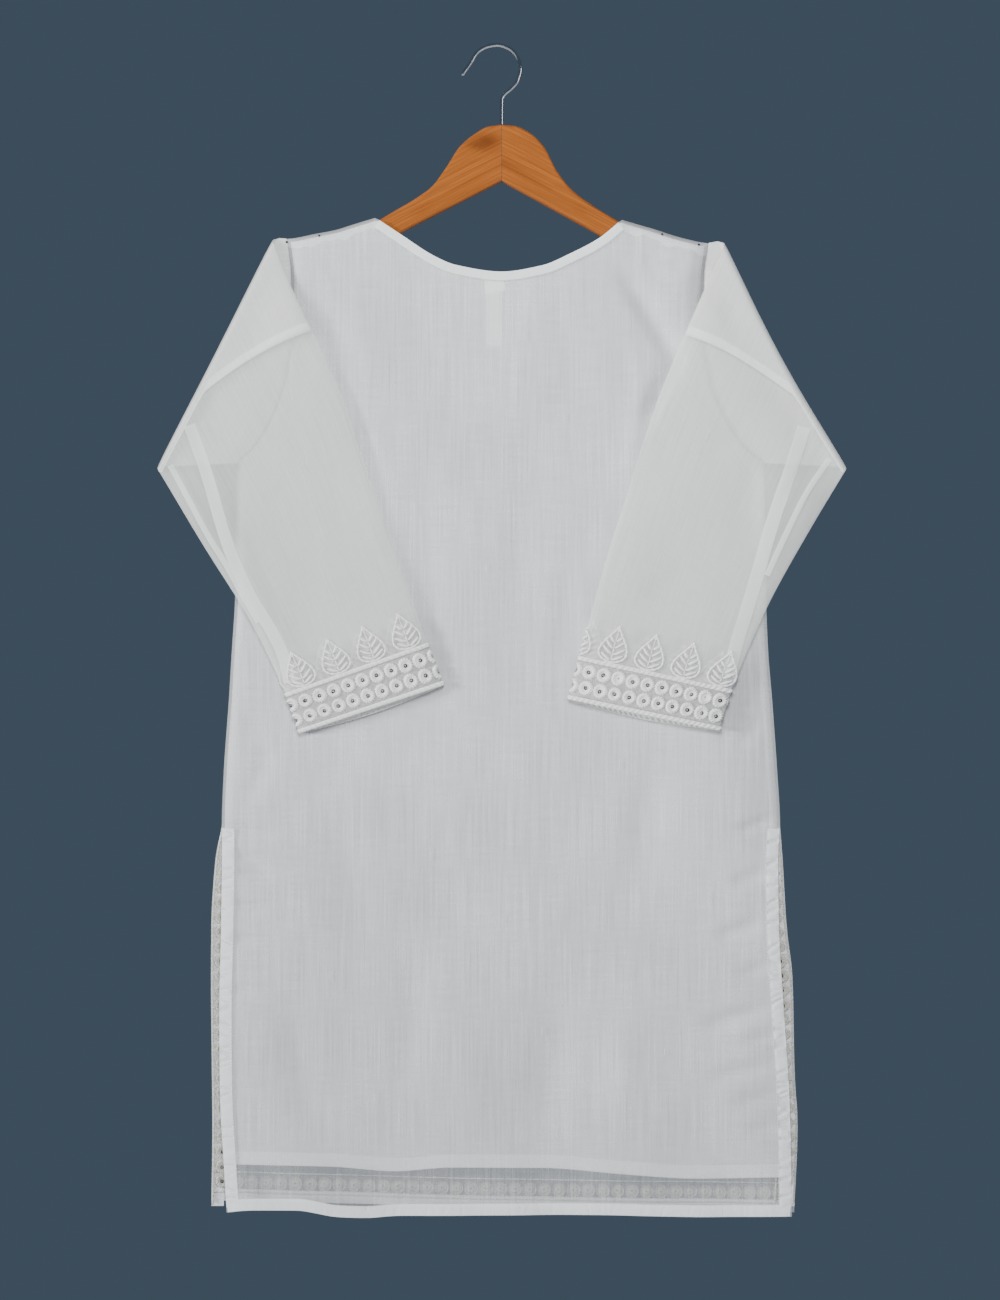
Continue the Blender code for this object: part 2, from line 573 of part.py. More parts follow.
class FoldedSleeve:
    """A flat tube set in at the armhole, folded over along a line onto the back.

    layer +1 is the tube's front half, which ends up outside once folded, and -1 its back half.
    """

    def __init__(self, sleeve, body):
        self.sleeve = sleeve
        self.body = body
        top, bottom = sleeve.fold_top, sleeve.fold_bottom
        length = math.hypot(bottom.x - top.x, bottom.drop - top.drop)
        self.along = Point((bottom.x - top.x) / length, (bottom.drop - top.drop) / length)
        self.out = Point(self.along.drop * sleeve.sign, -self.along.x * sleeve.sign)
        inset = FOLD_RADIUS + FOLD_DEPTH
        self.axis_top = Point(top.x - self.out.x * inset, top.drop - self.out.drop * inset)
        self.axis_bottom = Point(bottom.x - self.out.x * inset, bottom.drop - self.out.drop * inset)
        self.inner = route([self.shift(self.axis_top, TOP_EDGE_SHIFT / 2)] + sleeve.inner)
        self.outer = route([self.shift(self.axis_bottom, UNDER_EDGE_SHIFT / 2)] + sleeve.outer)
        self.armhole_top = ARMHOLE_TOP_LEFT if sleeve.sign < 0 else ARMHOLE_TOP_RIGHT

    def shift(self, point, distance):
        return Point(point.x + self.along.x * distance, point.drop + self.along.drop * distance)

    def fold_line(self, share, turn):
        """Point of the fold's axis, which slides along itself as the cloth turns round it."""
        top = self.shift(self.axis_top, TOP_EDGE_SHIFT * (turn - 0.5))
        bottom = self.shift(self.axis_bottom, UNDER_EDGE_SHIFT * (turn - 0.5))
        point = mix_points(top, bottom, share)
        bow = self.sleeve.bow * math.sin(math.pi * share)
        return Point(point.x - self.out.x * bow, point.drop - self.out.drop * bow)

    def armhole(self, share):
        drop = mix(self.armhole_top.drop, UNDERARM_DROP, share)
        edge = self.body.left if self.sleeve.sign < 0 else self.body.right
        return Point(edge(drop) + self.sleeve.sign * SEAM_GAP, drop)

    def swell(self, top, bottom, share, amount):
        """Point on a chord that is made longer by the amount at each end."""
        length = math.hypot(bottom.x - top.x, bottom.drop - top.drop)
        return mix_points(top, bottom, 0.5 + (share - 0.5) * (1.0 + 2.0 * amount / length))

    def stub(self, at, share, layer, amount):
        start = self.armhole(share)
        end = self.fold_line(share, 0.0)
        depth = section_depth(share, mix(ARMHOLE_DEPTH, FOLD_DEPTH, at)) + amount
        point = mix_points(start, end, at)
        return Vector((point.x, layer * depth, -point.drop))

    def bend(self, turn, share, layer, amount):
        base = self.fold_line(share, turn)
        radius = FOLD_RADIUS + layer * (section_depth(share, FOLD_DEPTH) + amount)
        reach = radius * math.sin(math.pi * turn)
        y = -FOLD_RADIUS + radius * math.cos(math.pi * turn)
        return Vector((base.x + self.out.x * reach, y, -(base.drop + self.out.drop * reach)))

    def rest_depth(self, point, at):
        """Depth at which the folded sleeve's inner layer lies."""
        across = Point(self.axis_top.x - point.x, self.axis_top.drop - point.drop)
        from_fold = across.x * self.out.x + across.drop * self.out.drop
        near = 2 * FOLD_RADIUS - FOLD_DEPTH
        return mix(near, FLAP_REST, smooth(from_fold / FLAP_REACH)) + CUFF_LIFT * smooth((at - 0.8) / 0.2)

    def flap(self, at, share, layer, amount, beyond=0.0):
        """Point of the folded part; beyond is the distance past the sleeve's end, into the cuff."""
        top = self.inner(at)
        bottom = self.outer(at)
        if at == 0.0:
            top = self.fold_line(0.0, 1.0)
            bottom = self.fold_line(1.0, 1.0)
        step = beyond / CUFF_HEIGHT
        top_move = Point(self.sleeve.cuff_inner.x - self.sleeve.inner[-1].x,
                         self.sleeve.cuff_inner.drop - self.sleeve.inner[-1].drop)
        bottom_move = Point(self.sleeve.cuff_outer.x - self.sleeve.outer[-1].x,
                            self.sleeve.cuff_outer.drop - self.sleeve.outer[-1].drop)
        top = Point(top.x + top_move.x * step, top.drop + top_move.drop * step)
        bottom = Point(bottom.x + bottom_move.x * step, bottom.drop + bottom_move.drop * step)
        point = self.swell(top, bottom, share, amount)
        bow = self.sleeve.bow * math.sin(math.pi * share) * (1.0 - smooth(at / 0.3))
        point = Point(point.x - self.out.x * bow, point.drop - self.out.drop * bow)
        if layer < 0:
            lip = CUFF_LIP * math.sin(math.pi * share) * smooth((at - 0.6) / 0.4)
            down = math.hypot(top_move.x, top_move.drop)
            point = Point(point.x + top_move.x / down * lip, point.drop + top_move.drop / down * lip)
        width = section_depth(share, mix(FOLD_DEPTH, SLEEVE_DEPTH, smooth(at / 0.3)))
        resting = -(self.rest_depth(point, at) + width)
        middle = mix(-2 * FOLD_RADIUS, resting, smooth(at / 0.12))
        return Vector((point.x, middle - layer * (width + amount), -point.drop))

    def ring_point(self, ring, share, layer, amount=0.0):
        zone, value = ring
        if zone == "stub":
            return self.stub(value, share, layer, amount)
        if zone == "bend":
            return self.bend(value, share, layer, amount)
        if zone == "flap":
            return self.flap(value, share, layer, amount)
        return self.flap(1.0, share, layer, amount, value)

    def rings(self):
        stub = [("stub", at) for at in STUB_RINGS]
        bend = [("bend", step / BEND_STEPS) for step in range(BEND_STEPS)]
        flap = [("flap", at) for at in FLAP_RINGS[:-1]]
        return stub + bend + flap + [("cuff", -PIPING_WIDTH / 2 - SEAM_GAP)]


def tube_place(folded, rings, amounts):
    """Placing function of a tube round both layers of the sleeve."""
    shares = section_shares()
    around = [(share, 1) for share in shares] + [(share, -1) for share in reversed(shares)]
    around.append(around[0])

    def place(column, row):
        share, layer = around[column]
        return folded.ring_point(rings[row], share, layer, amounts[row])

    return len(around), place


def build_tube(collection, name, folded, rings, amounts, thickness, look):
    columns, place = tube_place(folded, rings, amounts)
    build = grid_surface(columns, len(rings), place, wrap=True)
    face_outward(build)
    item = add_mesh(collection, name, build, look)
    wall = add_wall(item, thickness, even=True)
    return item, wall


def build_piping(collection, name, folded, centre):
    """Piping: a ring that bulges in the middle and is flat inside."""
    half = PIPING_WIDTH / 2
    rings = [("cuff", centre - half), ("cuff", centre), ("cuff", centre + half)]
    amounts = [0.3, PIPING_BULGE, 0.3]
    item, wall = build_tube(collection, name, folded, rings, amounts, WALL + PIPING_BULGE, PIPING_COTTON)
    middle = item.vertex_groups.new(name="full")
    edge_share = (WALL + 0.3) / (WALL + PIPING_BULGE)
    for vert in item.data.vertices:
        middle.add([vert.index], edge_share, "REPLACE")
    for vert in middle_ring(item, folded, centre):
        middle.add([vert.index], 1.0, "REPLACE")
    wall.vertex_group = "full"


def middle_ring(item, folded, centre):
    """Vertices of the piping's bulging ring, told by where the ring lies."""
    shares = section_shares()
    spots = [folded.ring_point(("cuff", centre), share, layer, PIPING_BULGE) * MM
             for share in shares for layer in (1, -1)]
    return [vert for vert in item.data.vertices if min((vert.co - spot).length for spot in spots) < 1e-5]


def build_lining_sleeve(collection, name, folded):
    """Front half of the short lining sleeve, one layer in from the sleeve, to its hem."""
    shares = section_shares()
    shares = [LINING_SLEEVE_MARGIN] + shares[2:-2] + [1.0 - LINING_SLEEVE_MARGIN]
    fixed = [("stub", 0.02)] + [("stub", at) for at in STUB_RINGS[1:]]
    fixed += [("bend", step / BEND_STEPS) for step in range(BEND_STEPS)]
    flap_shares = [0.0, 0.14, 0.33, 0.56, 0.78, 1.0]
    amount = -(WALL + LINING_SLEEVE_GAP)

    def place(column, row):
        share = shares[column]
        if row < len(fixed):
            return folded.ring_point(fixed[row], share, 1, amount)
        reach = LINING_SLEEVE_END * max(0.03, 1.0 - share / LINING_SLEEVE_FOLD_SHARE)
        return folded.ring_point(("flap", reach * flap_shares[row - len(fixed)]), share, 1, amount)

    build = grid_surface(len(shares), len(fixed) + len(flap_shares), place)
    face_outward(build)
    item = add_mesh(collection, name, build, LINING_COTTON)
    add_wall(item, WALL)


def build_sleeve(collection, sleeve, body):
    folded = FoldedSleeve(sleeve, body)
    rings = folded.rings()
    build_tube(collection, "sleeve_" + sleeve.name, folded, rings, [0.0] * len(rings), WALL, SLEEVE_COTTON)
    half = PIPING_WIDTH / 2
    band = [("cuff", half + SEAM_GAP), ("cuff", CUFF_HEIGHT / 2), ("cuff", CUFF_HEIGHT - half - SEAM_GAP)]
    build_tube(collection, "cuff_band_" + sleeve.name, folded, band, [0.0] * 3, WALL, NET)
    build_piping(collection, "piping_upper_" + sleeve.name, folded, 0.0)
    build_piping(collection, "piping_lower_" + sleeve.name, folded, CUFF_HEIGHT)
    build_lining_sleeve(collection, "lining_sleeve_" + sleeve.name, folded)


def arm_section():
    """Corner points of the rounded bar, as shares of its height and as depth and inset in mm."""
    points = []
    for corner_y, corner_z, start in ((-1, 1, 180), (1, 1, 90), (1, -1, 0), (-1, -1, -90)):
        for step in range(3):
            angle = math.radians(start - 45.0 * step)
            points.append((corner_y, corner_z, math.cos(angle), math.sin(angle)))
    return points


def build_arm(collection, name, sign):
    """One arm of the hanger: a rounded bar whose height follows the stations."""
    section = arm_section()
    around = section + [section[0]]

    def place(column, row):
        station = ARM_STATIONS[row]
        top = station.top_left if sign < 0 else station.top_right
        bottom = station.bottom_left if sign < 0 else station.bottom_right
        tip = row >= len(ARM_STATIONS) - 1
        half = HANGER_HALF_THICKNESS - (1.5 if tip else 0.0)
        corner_y, corner_z, cosine, sine = around[column]
        y = corner_y * (half - HANGER_EDGE_RADIUS) + cosine * HANGER_EDGE_RADIUS
        edge = top + HANGER_EDGE_RADIUS if corner_z > 0 else bottom - HANGER_EDGE_RADIUS
        drop = edge - sine * HANGER_EDGE_RADIUS
        return Vector((HANGER_CENTRE + sign * station.reach, y, -drop))

    build = grid_surface(len(around), len(ARM_STATIONS), place, wrap=True)
    bmesh.ops.holes_fill(build, edges=[edge for edge in build.edges if edge.is_boundary])
    bmesh.ops.recalc_face_normals(build, faces=build.faces)
    add_mesh(collection, name, build, VARNISHED_WOOD, 40.0)


def build_hook(collection):
    """Chrome wire hook, a curve with a round bevel."""
    path = route(HOOK_PATH)
    count = 34
    curve = bpy.data.curves.new("hook", "CURVE")
    curve.dimensions = "3D"
    curve.bevel_depth = HOOK_WIRE_RADIUS * MM
    curve.bevel_resolution = 2
    curve.use_fill_caps = True
    spline = curve.splines.new("POLY")
    spline.points.add(count - 1)
    for index, point in enumerate(spline.points):
        at = path(index / (count - 1))
        point.co = (at.x * MM, 0.0, -at.drop * MM, 1.0)
    item = bpy.data.objects.new("hook", curve)
    collection.objects.link(item)
    curve.materials.append(make_material("hook", CHROME))


def build_kurta():
    collection = clear_scene()
    back = BodyPanel(Panel("back_panel", -1, ARMHOLE_SIDES + BACK_SLIT_SIDES, BACK_NECK, BACK_HEM,
                           BACK_FOLDS, BACK_YOKE_STEP, BACK_YOKE_ROWS, BACK_COLUMNS))
    front = BodyPanel(Panel("front_panel", 1, ARMHOLE_SIDES + FRONT_SLIT_SIDES, FRONT_NECK, FRONT_HEM,
                            FRONT_FOLDS, FRONT_YOKE_STEP, FRONT_YOKE_ROWS, FRONT_COLUMNS))
    build_panel(collection, back, BACK_ROWS, COTTON)
    build_panel(collection, front, FRONT_ROWS, COTTON)
    build_neck_facing(collection, back, "neck_facing_back")
    build_neck_facing(collection, front, "neck_facing_front")
    build_lining(collection, back)
    build_label(collection, back)
    for sleeve in (LEFT_SLEEVE, RIGHT_SLEEVE):
        build_sleeve(collection, sleeve, back)
    build_arm(collection, "hanger_arm_left", -1)
    build_arm(collection, "hanger_arm_right", 1)
    build_hook(collection)


build_kurta()
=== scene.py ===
"""Looks of a white kurta tunic on a wooden hanger: fine cloth, embroidery, wood and chrome.

The shapes below work in millimetres, with "drop" the distance below the hook's inner top,
as the frame's own tables do. Points become metres only when a mesh is made.
"""

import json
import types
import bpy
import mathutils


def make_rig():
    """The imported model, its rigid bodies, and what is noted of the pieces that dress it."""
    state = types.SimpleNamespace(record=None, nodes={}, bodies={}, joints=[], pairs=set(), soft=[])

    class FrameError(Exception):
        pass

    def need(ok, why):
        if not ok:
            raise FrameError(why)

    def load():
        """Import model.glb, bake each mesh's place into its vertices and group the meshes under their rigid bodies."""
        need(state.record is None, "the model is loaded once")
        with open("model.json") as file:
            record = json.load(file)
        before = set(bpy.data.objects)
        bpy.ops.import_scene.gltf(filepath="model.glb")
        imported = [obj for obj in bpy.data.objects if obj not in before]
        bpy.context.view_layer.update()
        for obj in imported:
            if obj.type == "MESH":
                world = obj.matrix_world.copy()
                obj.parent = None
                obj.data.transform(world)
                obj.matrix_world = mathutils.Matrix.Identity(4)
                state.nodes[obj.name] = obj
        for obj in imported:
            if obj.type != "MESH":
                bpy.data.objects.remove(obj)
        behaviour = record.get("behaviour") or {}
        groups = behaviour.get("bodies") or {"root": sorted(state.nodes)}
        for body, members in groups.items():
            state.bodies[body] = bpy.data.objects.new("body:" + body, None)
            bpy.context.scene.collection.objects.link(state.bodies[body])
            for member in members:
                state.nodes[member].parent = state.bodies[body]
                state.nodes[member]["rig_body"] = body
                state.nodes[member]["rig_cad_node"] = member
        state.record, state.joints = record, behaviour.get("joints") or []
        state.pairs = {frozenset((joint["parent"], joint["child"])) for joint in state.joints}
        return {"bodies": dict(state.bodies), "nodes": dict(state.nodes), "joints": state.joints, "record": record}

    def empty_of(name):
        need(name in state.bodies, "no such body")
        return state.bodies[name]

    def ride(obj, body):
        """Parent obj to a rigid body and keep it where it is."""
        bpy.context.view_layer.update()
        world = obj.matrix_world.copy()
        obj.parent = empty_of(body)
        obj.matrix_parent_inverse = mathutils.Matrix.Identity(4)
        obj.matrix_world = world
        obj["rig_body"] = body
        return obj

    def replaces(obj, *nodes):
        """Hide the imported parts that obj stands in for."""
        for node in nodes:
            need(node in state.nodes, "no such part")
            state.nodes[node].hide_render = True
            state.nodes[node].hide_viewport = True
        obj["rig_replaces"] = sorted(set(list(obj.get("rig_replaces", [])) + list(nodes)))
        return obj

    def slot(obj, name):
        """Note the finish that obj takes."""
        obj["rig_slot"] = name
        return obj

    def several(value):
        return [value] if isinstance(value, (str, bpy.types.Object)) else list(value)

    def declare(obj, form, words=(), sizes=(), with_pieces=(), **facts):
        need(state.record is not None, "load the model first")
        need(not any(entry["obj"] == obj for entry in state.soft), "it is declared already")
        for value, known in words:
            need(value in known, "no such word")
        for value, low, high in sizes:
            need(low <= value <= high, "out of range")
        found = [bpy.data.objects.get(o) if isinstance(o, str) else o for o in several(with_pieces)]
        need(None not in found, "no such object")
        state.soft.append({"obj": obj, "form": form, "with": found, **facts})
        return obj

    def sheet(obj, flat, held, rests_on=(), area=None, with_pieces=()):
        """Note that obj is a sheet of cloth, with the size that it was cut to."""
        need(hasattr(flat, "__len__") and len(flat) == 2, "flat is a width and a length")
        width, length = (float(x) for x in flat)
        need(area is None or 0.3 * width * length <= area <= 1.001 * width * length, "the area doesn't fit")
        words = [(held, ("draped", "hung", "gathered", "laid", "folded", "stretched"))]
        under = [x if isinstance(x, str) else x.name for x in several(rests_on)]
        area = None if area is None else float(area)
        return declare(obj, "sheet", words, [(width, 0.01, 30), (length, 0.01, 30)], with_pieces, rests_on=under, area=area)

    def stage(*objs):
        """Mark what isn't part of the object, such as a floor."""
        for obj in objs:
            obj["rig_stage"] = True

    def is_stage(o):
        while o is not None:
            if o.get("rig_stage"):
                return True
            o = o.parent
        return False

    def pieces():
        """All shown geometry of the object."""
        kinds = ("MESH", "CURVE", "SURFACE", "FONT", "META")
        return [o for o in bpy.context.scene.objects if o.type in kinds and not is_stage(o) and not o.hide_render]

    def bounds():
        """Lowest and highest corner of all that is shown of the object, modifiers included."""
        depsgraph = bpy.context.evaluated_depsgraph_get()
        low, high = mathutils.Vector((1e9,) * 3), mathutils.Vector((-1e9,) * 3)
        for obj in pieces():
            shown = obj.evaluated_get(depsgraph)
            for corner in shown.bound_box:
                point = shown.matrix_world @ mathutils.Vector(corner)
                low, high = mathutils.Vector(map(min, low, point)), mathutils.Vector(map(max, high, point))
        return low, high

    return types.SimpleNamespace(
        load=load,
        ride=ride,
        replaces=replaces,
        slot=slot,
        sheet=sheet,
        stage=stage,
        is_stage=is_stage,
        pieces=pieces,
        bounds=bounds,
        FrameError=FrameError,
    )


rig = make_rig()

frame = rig.load()

import json
import math
import random
from collections import namedtuple

import bmesh
import bpy
import numpy as np
from mathutils import Vector

CAD_BOX = [list(corner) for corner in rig.bounds()]
SIZE_FILE = "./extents.json"
MM = 0.001
BODY = "root"
OUT_OF_BACK = (0.0, -1.0, 0.0)
OUT_OF_FRONT = (0.0, 1.0, 0.0)
RANDOM = random.Random(7)

# The body's cut, as in the frame
SIDE_SEAM_DEPTH = 1.0
RIDGE_HALF = 0.3
ROOF_RADIUS = 10.0
SHOULDER_DEPTH = 8.0
CHEST_DEPTH = 6.3
HEM_DEPTH = 6.0
SLIT_EDGE_DEPTH = 2.6
SHOULDER_ROUNDING = 16.0
BODY_ROUNDING = 50.0
CHEST_DROP = 265.0
SHOULDER_LEVEL = 200.0
NECK_RIDGE_SLOPE = 0.53
UNDERARM_DROP = 374.6
SLIT_TOP_DROP = 697.7
HEM_DROP = 1050.0

# How the cloth's surface is creased, puckered and fluted
CREASE_FADE = 0.4
CREASE_START = 8.0
CREASE_REACH = 50.0
PUCKER_HEIGHT = 0.28
PUCKER_REACH = 16.0
FLUTE_HEIGHT = 0.55
FLUTE_REACH = 70.0

# Folded sleeves
TUBE_EDGE_DEPTH = 1.1
ARMHOLE_DEPTH = 2.8
FOLD_DEPTH = 2.4
SLEEVE_DEPTH = 3.4
FOLD_RADIUS = 3.0
FLAP_REST = 6.7
FLAP_REACH = 55.0
UNBEND_SHARE = 0.12
SETTLE_SHARE = 0.3
FLAP_CREASE_SHARE = 0.1
LIP_START = 0.6
LIP_RUN = 0.4
LIFT_START = 0.8
LIFT_RUN = 0.2
CUFF_LIFT = 1.6
TOP_EDGE_SHIFT = 8.6
UNDER_EDGE_SHIFT = 6.6
CUFF_LIP = 4.0
CUFF_HEIGHT = 34.0
PIPING_WIDTH = 4.0
PIPING_BULGE = 1.1
SEAM_GAP = 0.3
SEARCH_STEPS = 14
NUDGE = 0.004

# Cloth
CLOTH_WALL = 0.45
FACING_WIDTH = 8.0
HEM_BAND = 10.8
SLIT_BAND = 11.4
SLIT_BAND_START = 6.0
FAINT_SIDE_BAND = -0.04
FAINT_HEM_BAND = -0.06
SIDE_BAND = 11.0
SIDE_BAND_START = 6.0
SHOULDER_BAND = 10.5
LINING_HEM_BAND = 12.0
LINING_DEPTH = 1.5
LINING_EDGE_GAP = 3.0
PANEL_STEP = 3.6
PANEL_ROW_STEP = 4.0
LINING_STEP = 3.8
LINING_ROW_STEP = 4.2
PANEL_HEIGHT = 880.0
FACING_DEPTH = 0.9
FACING_WALL = 0.3
LABEL_DEPTH = 2.7
LABEL_WALL = 0.35
LABEL_FOLD = 8.0
LINING_SLEEVE_DEPTH = 1.2
LINING_SLEEVE_WALL = 0.3
LINING_SLEEVE_BAND = 9.0
NO_BAND = 5.0
FAR_FROM_HEM = 50.0
SLEEVE_MAP_WIDTH = 150.0
STUB_STEPS = 6
STUB_LENGTH = 30.0
BEND_STEPS = 12
BEND_LENGTH = 8.0
PIPING_WALL = 0.5
RIBBON_LIFT = 0.14
PUCKERED_STEP = 0.9
PLAIN_STEP = 3.5
SHEER_ALPHA = 0.34
SLEEVE_ALPHA = 0.38
WHITE_BAND = 0.85
WALL_COLOUR = (0.053, 0.077, 0.108, 1.0)

Point = namedtuple("Point", "x drop")
Sides = namedtuple("Sides", "drop left right")
Fold = namedtuple("Fold", "centre width height start")
Cut = namedtuple("Cut", "piece width length area held rests_on pieces")
Crease = namedtuple("Crease", "x drop end_x end_drop width height")
Station = namedtuple("Station", "reach top_left top_right bottom_left bottom_right")
Sleeve = namedtuple(
    "Sleeve", "name sign fold_top fold_bottom bow inner outer cuff_inner cuff_outer")


def table(kind, *rows):
    """Rows with the kind's named columns."""
    return [kind(*row) for row in rows]


SHOULDER_LEFT_LINE = table(
    Point, (-203, 173.6), (-188.6, 173), (-163.3, 168.4), (-145.3, 164.9), (-131, 160.4),
    (-110.2, 154.1))
SHOULDER_RIGHT_LINE = table(
    Point, (112, 155.9), (127.4, 160.4), (140, 164), (162.5, 171.2), (189.5, 177), (203.8, 178))
NECK_LEFT, NECK_RIGHT = SHOULDER_LEFT_LINE[-1].x, SHOULDER_RIGHT_LINE[0].x
BODY_LEFT = -189.0
BODY_RIGHT = 189.5
ARMHOLE_TOP_LEFT = Point(-189.0, 173.0)
ARMHOLE_TOP_RIGHT = Point(189.5, 177.0)

BACK_NECK = table(
    Point, (-110.2, 154.1), (-88.7, 168.5), (-54.9, 190.1), (-37.4, 197.2), (3.7, 203.2),
    (40.1, 197.6), (65.2, 187), (91.4, 173), (112, 155.9))
FRONT_NECK = table(
    Point, (-110.2, 154.1), (-102.7, 167.2), (-90.2, 193.2), (-69.8, 222), (-33.8, 242.5),
    (2.2, 248.6), (36, 243), (71.5, 222), (92, 195), (104.5, 169), (112, 155.9))
ARMHOLE_SIDES = table(
    Sides, (173, -189, 190), (177, -188.5, 189.5), (206, -185.5, 185.5), (246, -185.5, 184.6),
    (291, -190.3, 189.5), (331, -203, 203.8), (361, -221, 223.7), (374.6, -233.6, 239),
    (426, -234.9, 240.6), (498, -236.2, 241.7), (543, -239, 243.5), (588, -241.7, 247.1),
    (651, -246.2, 251.6), (697.7, -248, 254.2))
BACK_SLIT_SIDES = table(
    Sides, (732, -248, 252.5), (792, -248.8, 253.3), (871, -250.4, 257.9), (940, -249.8, 262.4),
    (1003, -246.5, 264.2), (1050, -243.5, 264.6))
FRONT_SLIT_SIDES = table(
    Sides, (732, -254.2, 256.9), (792, -257.9, 260.6), (840, -258.2, 265.9), (924, -257.4, 267.8),
    (971, -257, 270.4), (1050, -257.9, 267.3))
BACK_HEM = table(
    Point, (-243.5, 1048.7), (-218.2, 1046.4), (-181.3, 1046.4), (-141.8, 1052.3),
    (-118.4, 1053.2), (-87.8, 1051.4), (92.2, 1050.5), (134.6, 1051.4), (191.2, 1052.3),
    (265.1, 1052.3))
FRONT_HEM = table(Point, (-257.9, 1038.8), (5, 1046), (267.3, 1049.6))
LINING_HEM = table(
    Point, (-236.2, 1005.5), (-150, 1007), (-90, 1011.5), (-40, 1008), (40, 1008.5), (120, 1014.5),
    (180, 1018), (249.8, 1017.2))

BACK_FOLDS = table(
    Fold, (-170, 26, 1.1, 740), (-95, 34, -1, 690), (-20, 30, 0.9, 800), (60, 38, -1.1, 720),
    (140, 28, 1.2, 780), (205, 22, -0.8, 820))
FRONT_FOLDS = table(
    Fold, (-185, 30, -1, 700), (-110, 28, 1.2, 760), (-30, 36, -0.9, 660), (45, 26, 1, 800),
    (115, 34, -1.1, 700), (190, 24, 1, 760))

# Creases: where each starts and ends, its half width, and its height
BACK_CREASES = table(
    Crease, (100, 180, 176, 306, 10, -5.8), (170, 272, 126, 350, 9, -4.6),
    (184, 190, 181, 262, 7, -3), (138, 266, 114, 410, 8, 2), (112, 250, 130, 300, 9, 0.9),
    (-178, 186, -126, 300, 12, -4), (-150, 280, -104, 400, 7, -3.7),
    (-160, 182, -146, 206, 5, -2.5), (-138, 178, -128, 200, 5, -1.9),
    (140, 180, 134, 204, 5, -2.2), (166, 188, 158, 206, 5, -1.9), (-60, 215, -84, 330, 20, -1.9),
    (58, 210, 70, 330, 18, -1.6), (-70, 340, -56, 560, 14, -2), (70, 400, 52, 600, 15, -2.2),
    (30, 300, 22, 620, 24, -2.2), (-20, 420, -34, 700, 26, 1.2), (150, 600, 120, 800, 20, -2.8),
    (-150, 640, -120, 820, 18, -2.6), (-200, 620, -228, 690, 8, -2.5),
    (228, 560, 196, 640, 9, -2.5), (-226, 590, -208, 646, 7, -1.9), (236, 596, 214, 640, 6, -1.9),
    (-244, 700, -196, 712, 4.5, -2.8), (-242, 722, -200, 744, 5, -3.1),
    (-240, 741, -196, 748, 4.5, -2.8), (-242, 770, -204, 776, 4, -1.9),
    (-244, 800, -212, 806, 4.5, -2.2), (-243, 850, -216, 846, 4, -1.6),
    (254, 694, 210, 706, 3.6, -3.4), (248, 742, 206, 752, 5, -2.8), (246, 786, 190, 802, 6, -3.1),
    (250, 826, 214, 834, 4.5, -2.5), (252, 862, 176, 884, 7, -3.1), (254, 890, 214, 896, 4, -2.5),
    (254, 916, 184, 928, 6, -2.8), (256, 944, 206, 950, 5, -2.2), (256, 972, 220, 974, 4, -1.9),
    (60, 820, 40, 1010, 18, -2.2), (-190, 820, -160, 1010, 15, -2.2),
    (-60, 760, -96, 1000, 16, -1.9), (120, 840, 104, 1020, 14, 1.4),
    (-20, 860, -30, 1020, 15, 1.2))
FRONT_CREASES = table(
    Crease, (-150, 190, -70, 330, 14, -2.6), (150, 190, 84, 340, 14, -2.9),
    (-90, 250, -20, 300, 16, -1.4), (95, 250, 30, 305, 16, -1.4), (-216, 366, -60, 480, 18, -2.2),
    (222, 366, 70, 470, 18, -2.2), (10, 330, -10, 600, 20, 1.1), (-90, 560, -120, 780, 20, -1.9),
    (96, 540, 130, 790, 20, -1.9), (-246, 716, -200, 724, 5, -1.9),
    (-248, 780, -206, 790, 5, -1.7), (-250, 860, -212, 866, 5, -1.7),
    (252, 720, 210, 728, 5, -1.9), (256, 800, 214, 806, 5, -1.7), (258, 880, 216, 884, 5, -1.7),
    (20, 760, 4, 1020, 18, 1.2), (-150, 800, -170, 1020, 15, -1.7), (80, 800, 96, 1020, 15, -1.6),
    (-60, 380, -80, 560, 15, -1.6), (60, 360, 76, 560, 16, -1.4))
LEFT_FLAP_CREASES = table(
    Crease, (-300, 367, -222, 512, 4, 1.6), (-290, 360, -226, 500, 5, -1.9),
    (-262, 300, -180, 330, 12, 1), (-210, 400, -150, 520, 16, -2.1),
    (-130, 380, -92, 530, 12, 1.1), (-200, 210, -170, 300, 10, 1.1),
    (-276, 332, -246, 430, 7, -1.8), (-236, 350, -170, 420, 12, -1.9),
    (-232, 240, -196, 316, 12, -1.6), (-176, 470, -120, 500, 12, -1.4))
RIGHT_FLAP_CREASES = table(
    Crease, (303, 365, 262, 430, 4, 1.6), (292, 350, 250, 420, 5, -1.9),
    (196, 250, 230, 224, 7, -2.6), (190, 330, 150, 470, 16, 1.1), (240, 320, 214, 470, 14, -2.1),
    (130, 420, 104, 550, 12, 1), (236, 330, 170, 380, 12, -1.8), (226, 226, 196, 300, 12, -1.4),
    (178, 470, 120, 500, 12, -1.4))

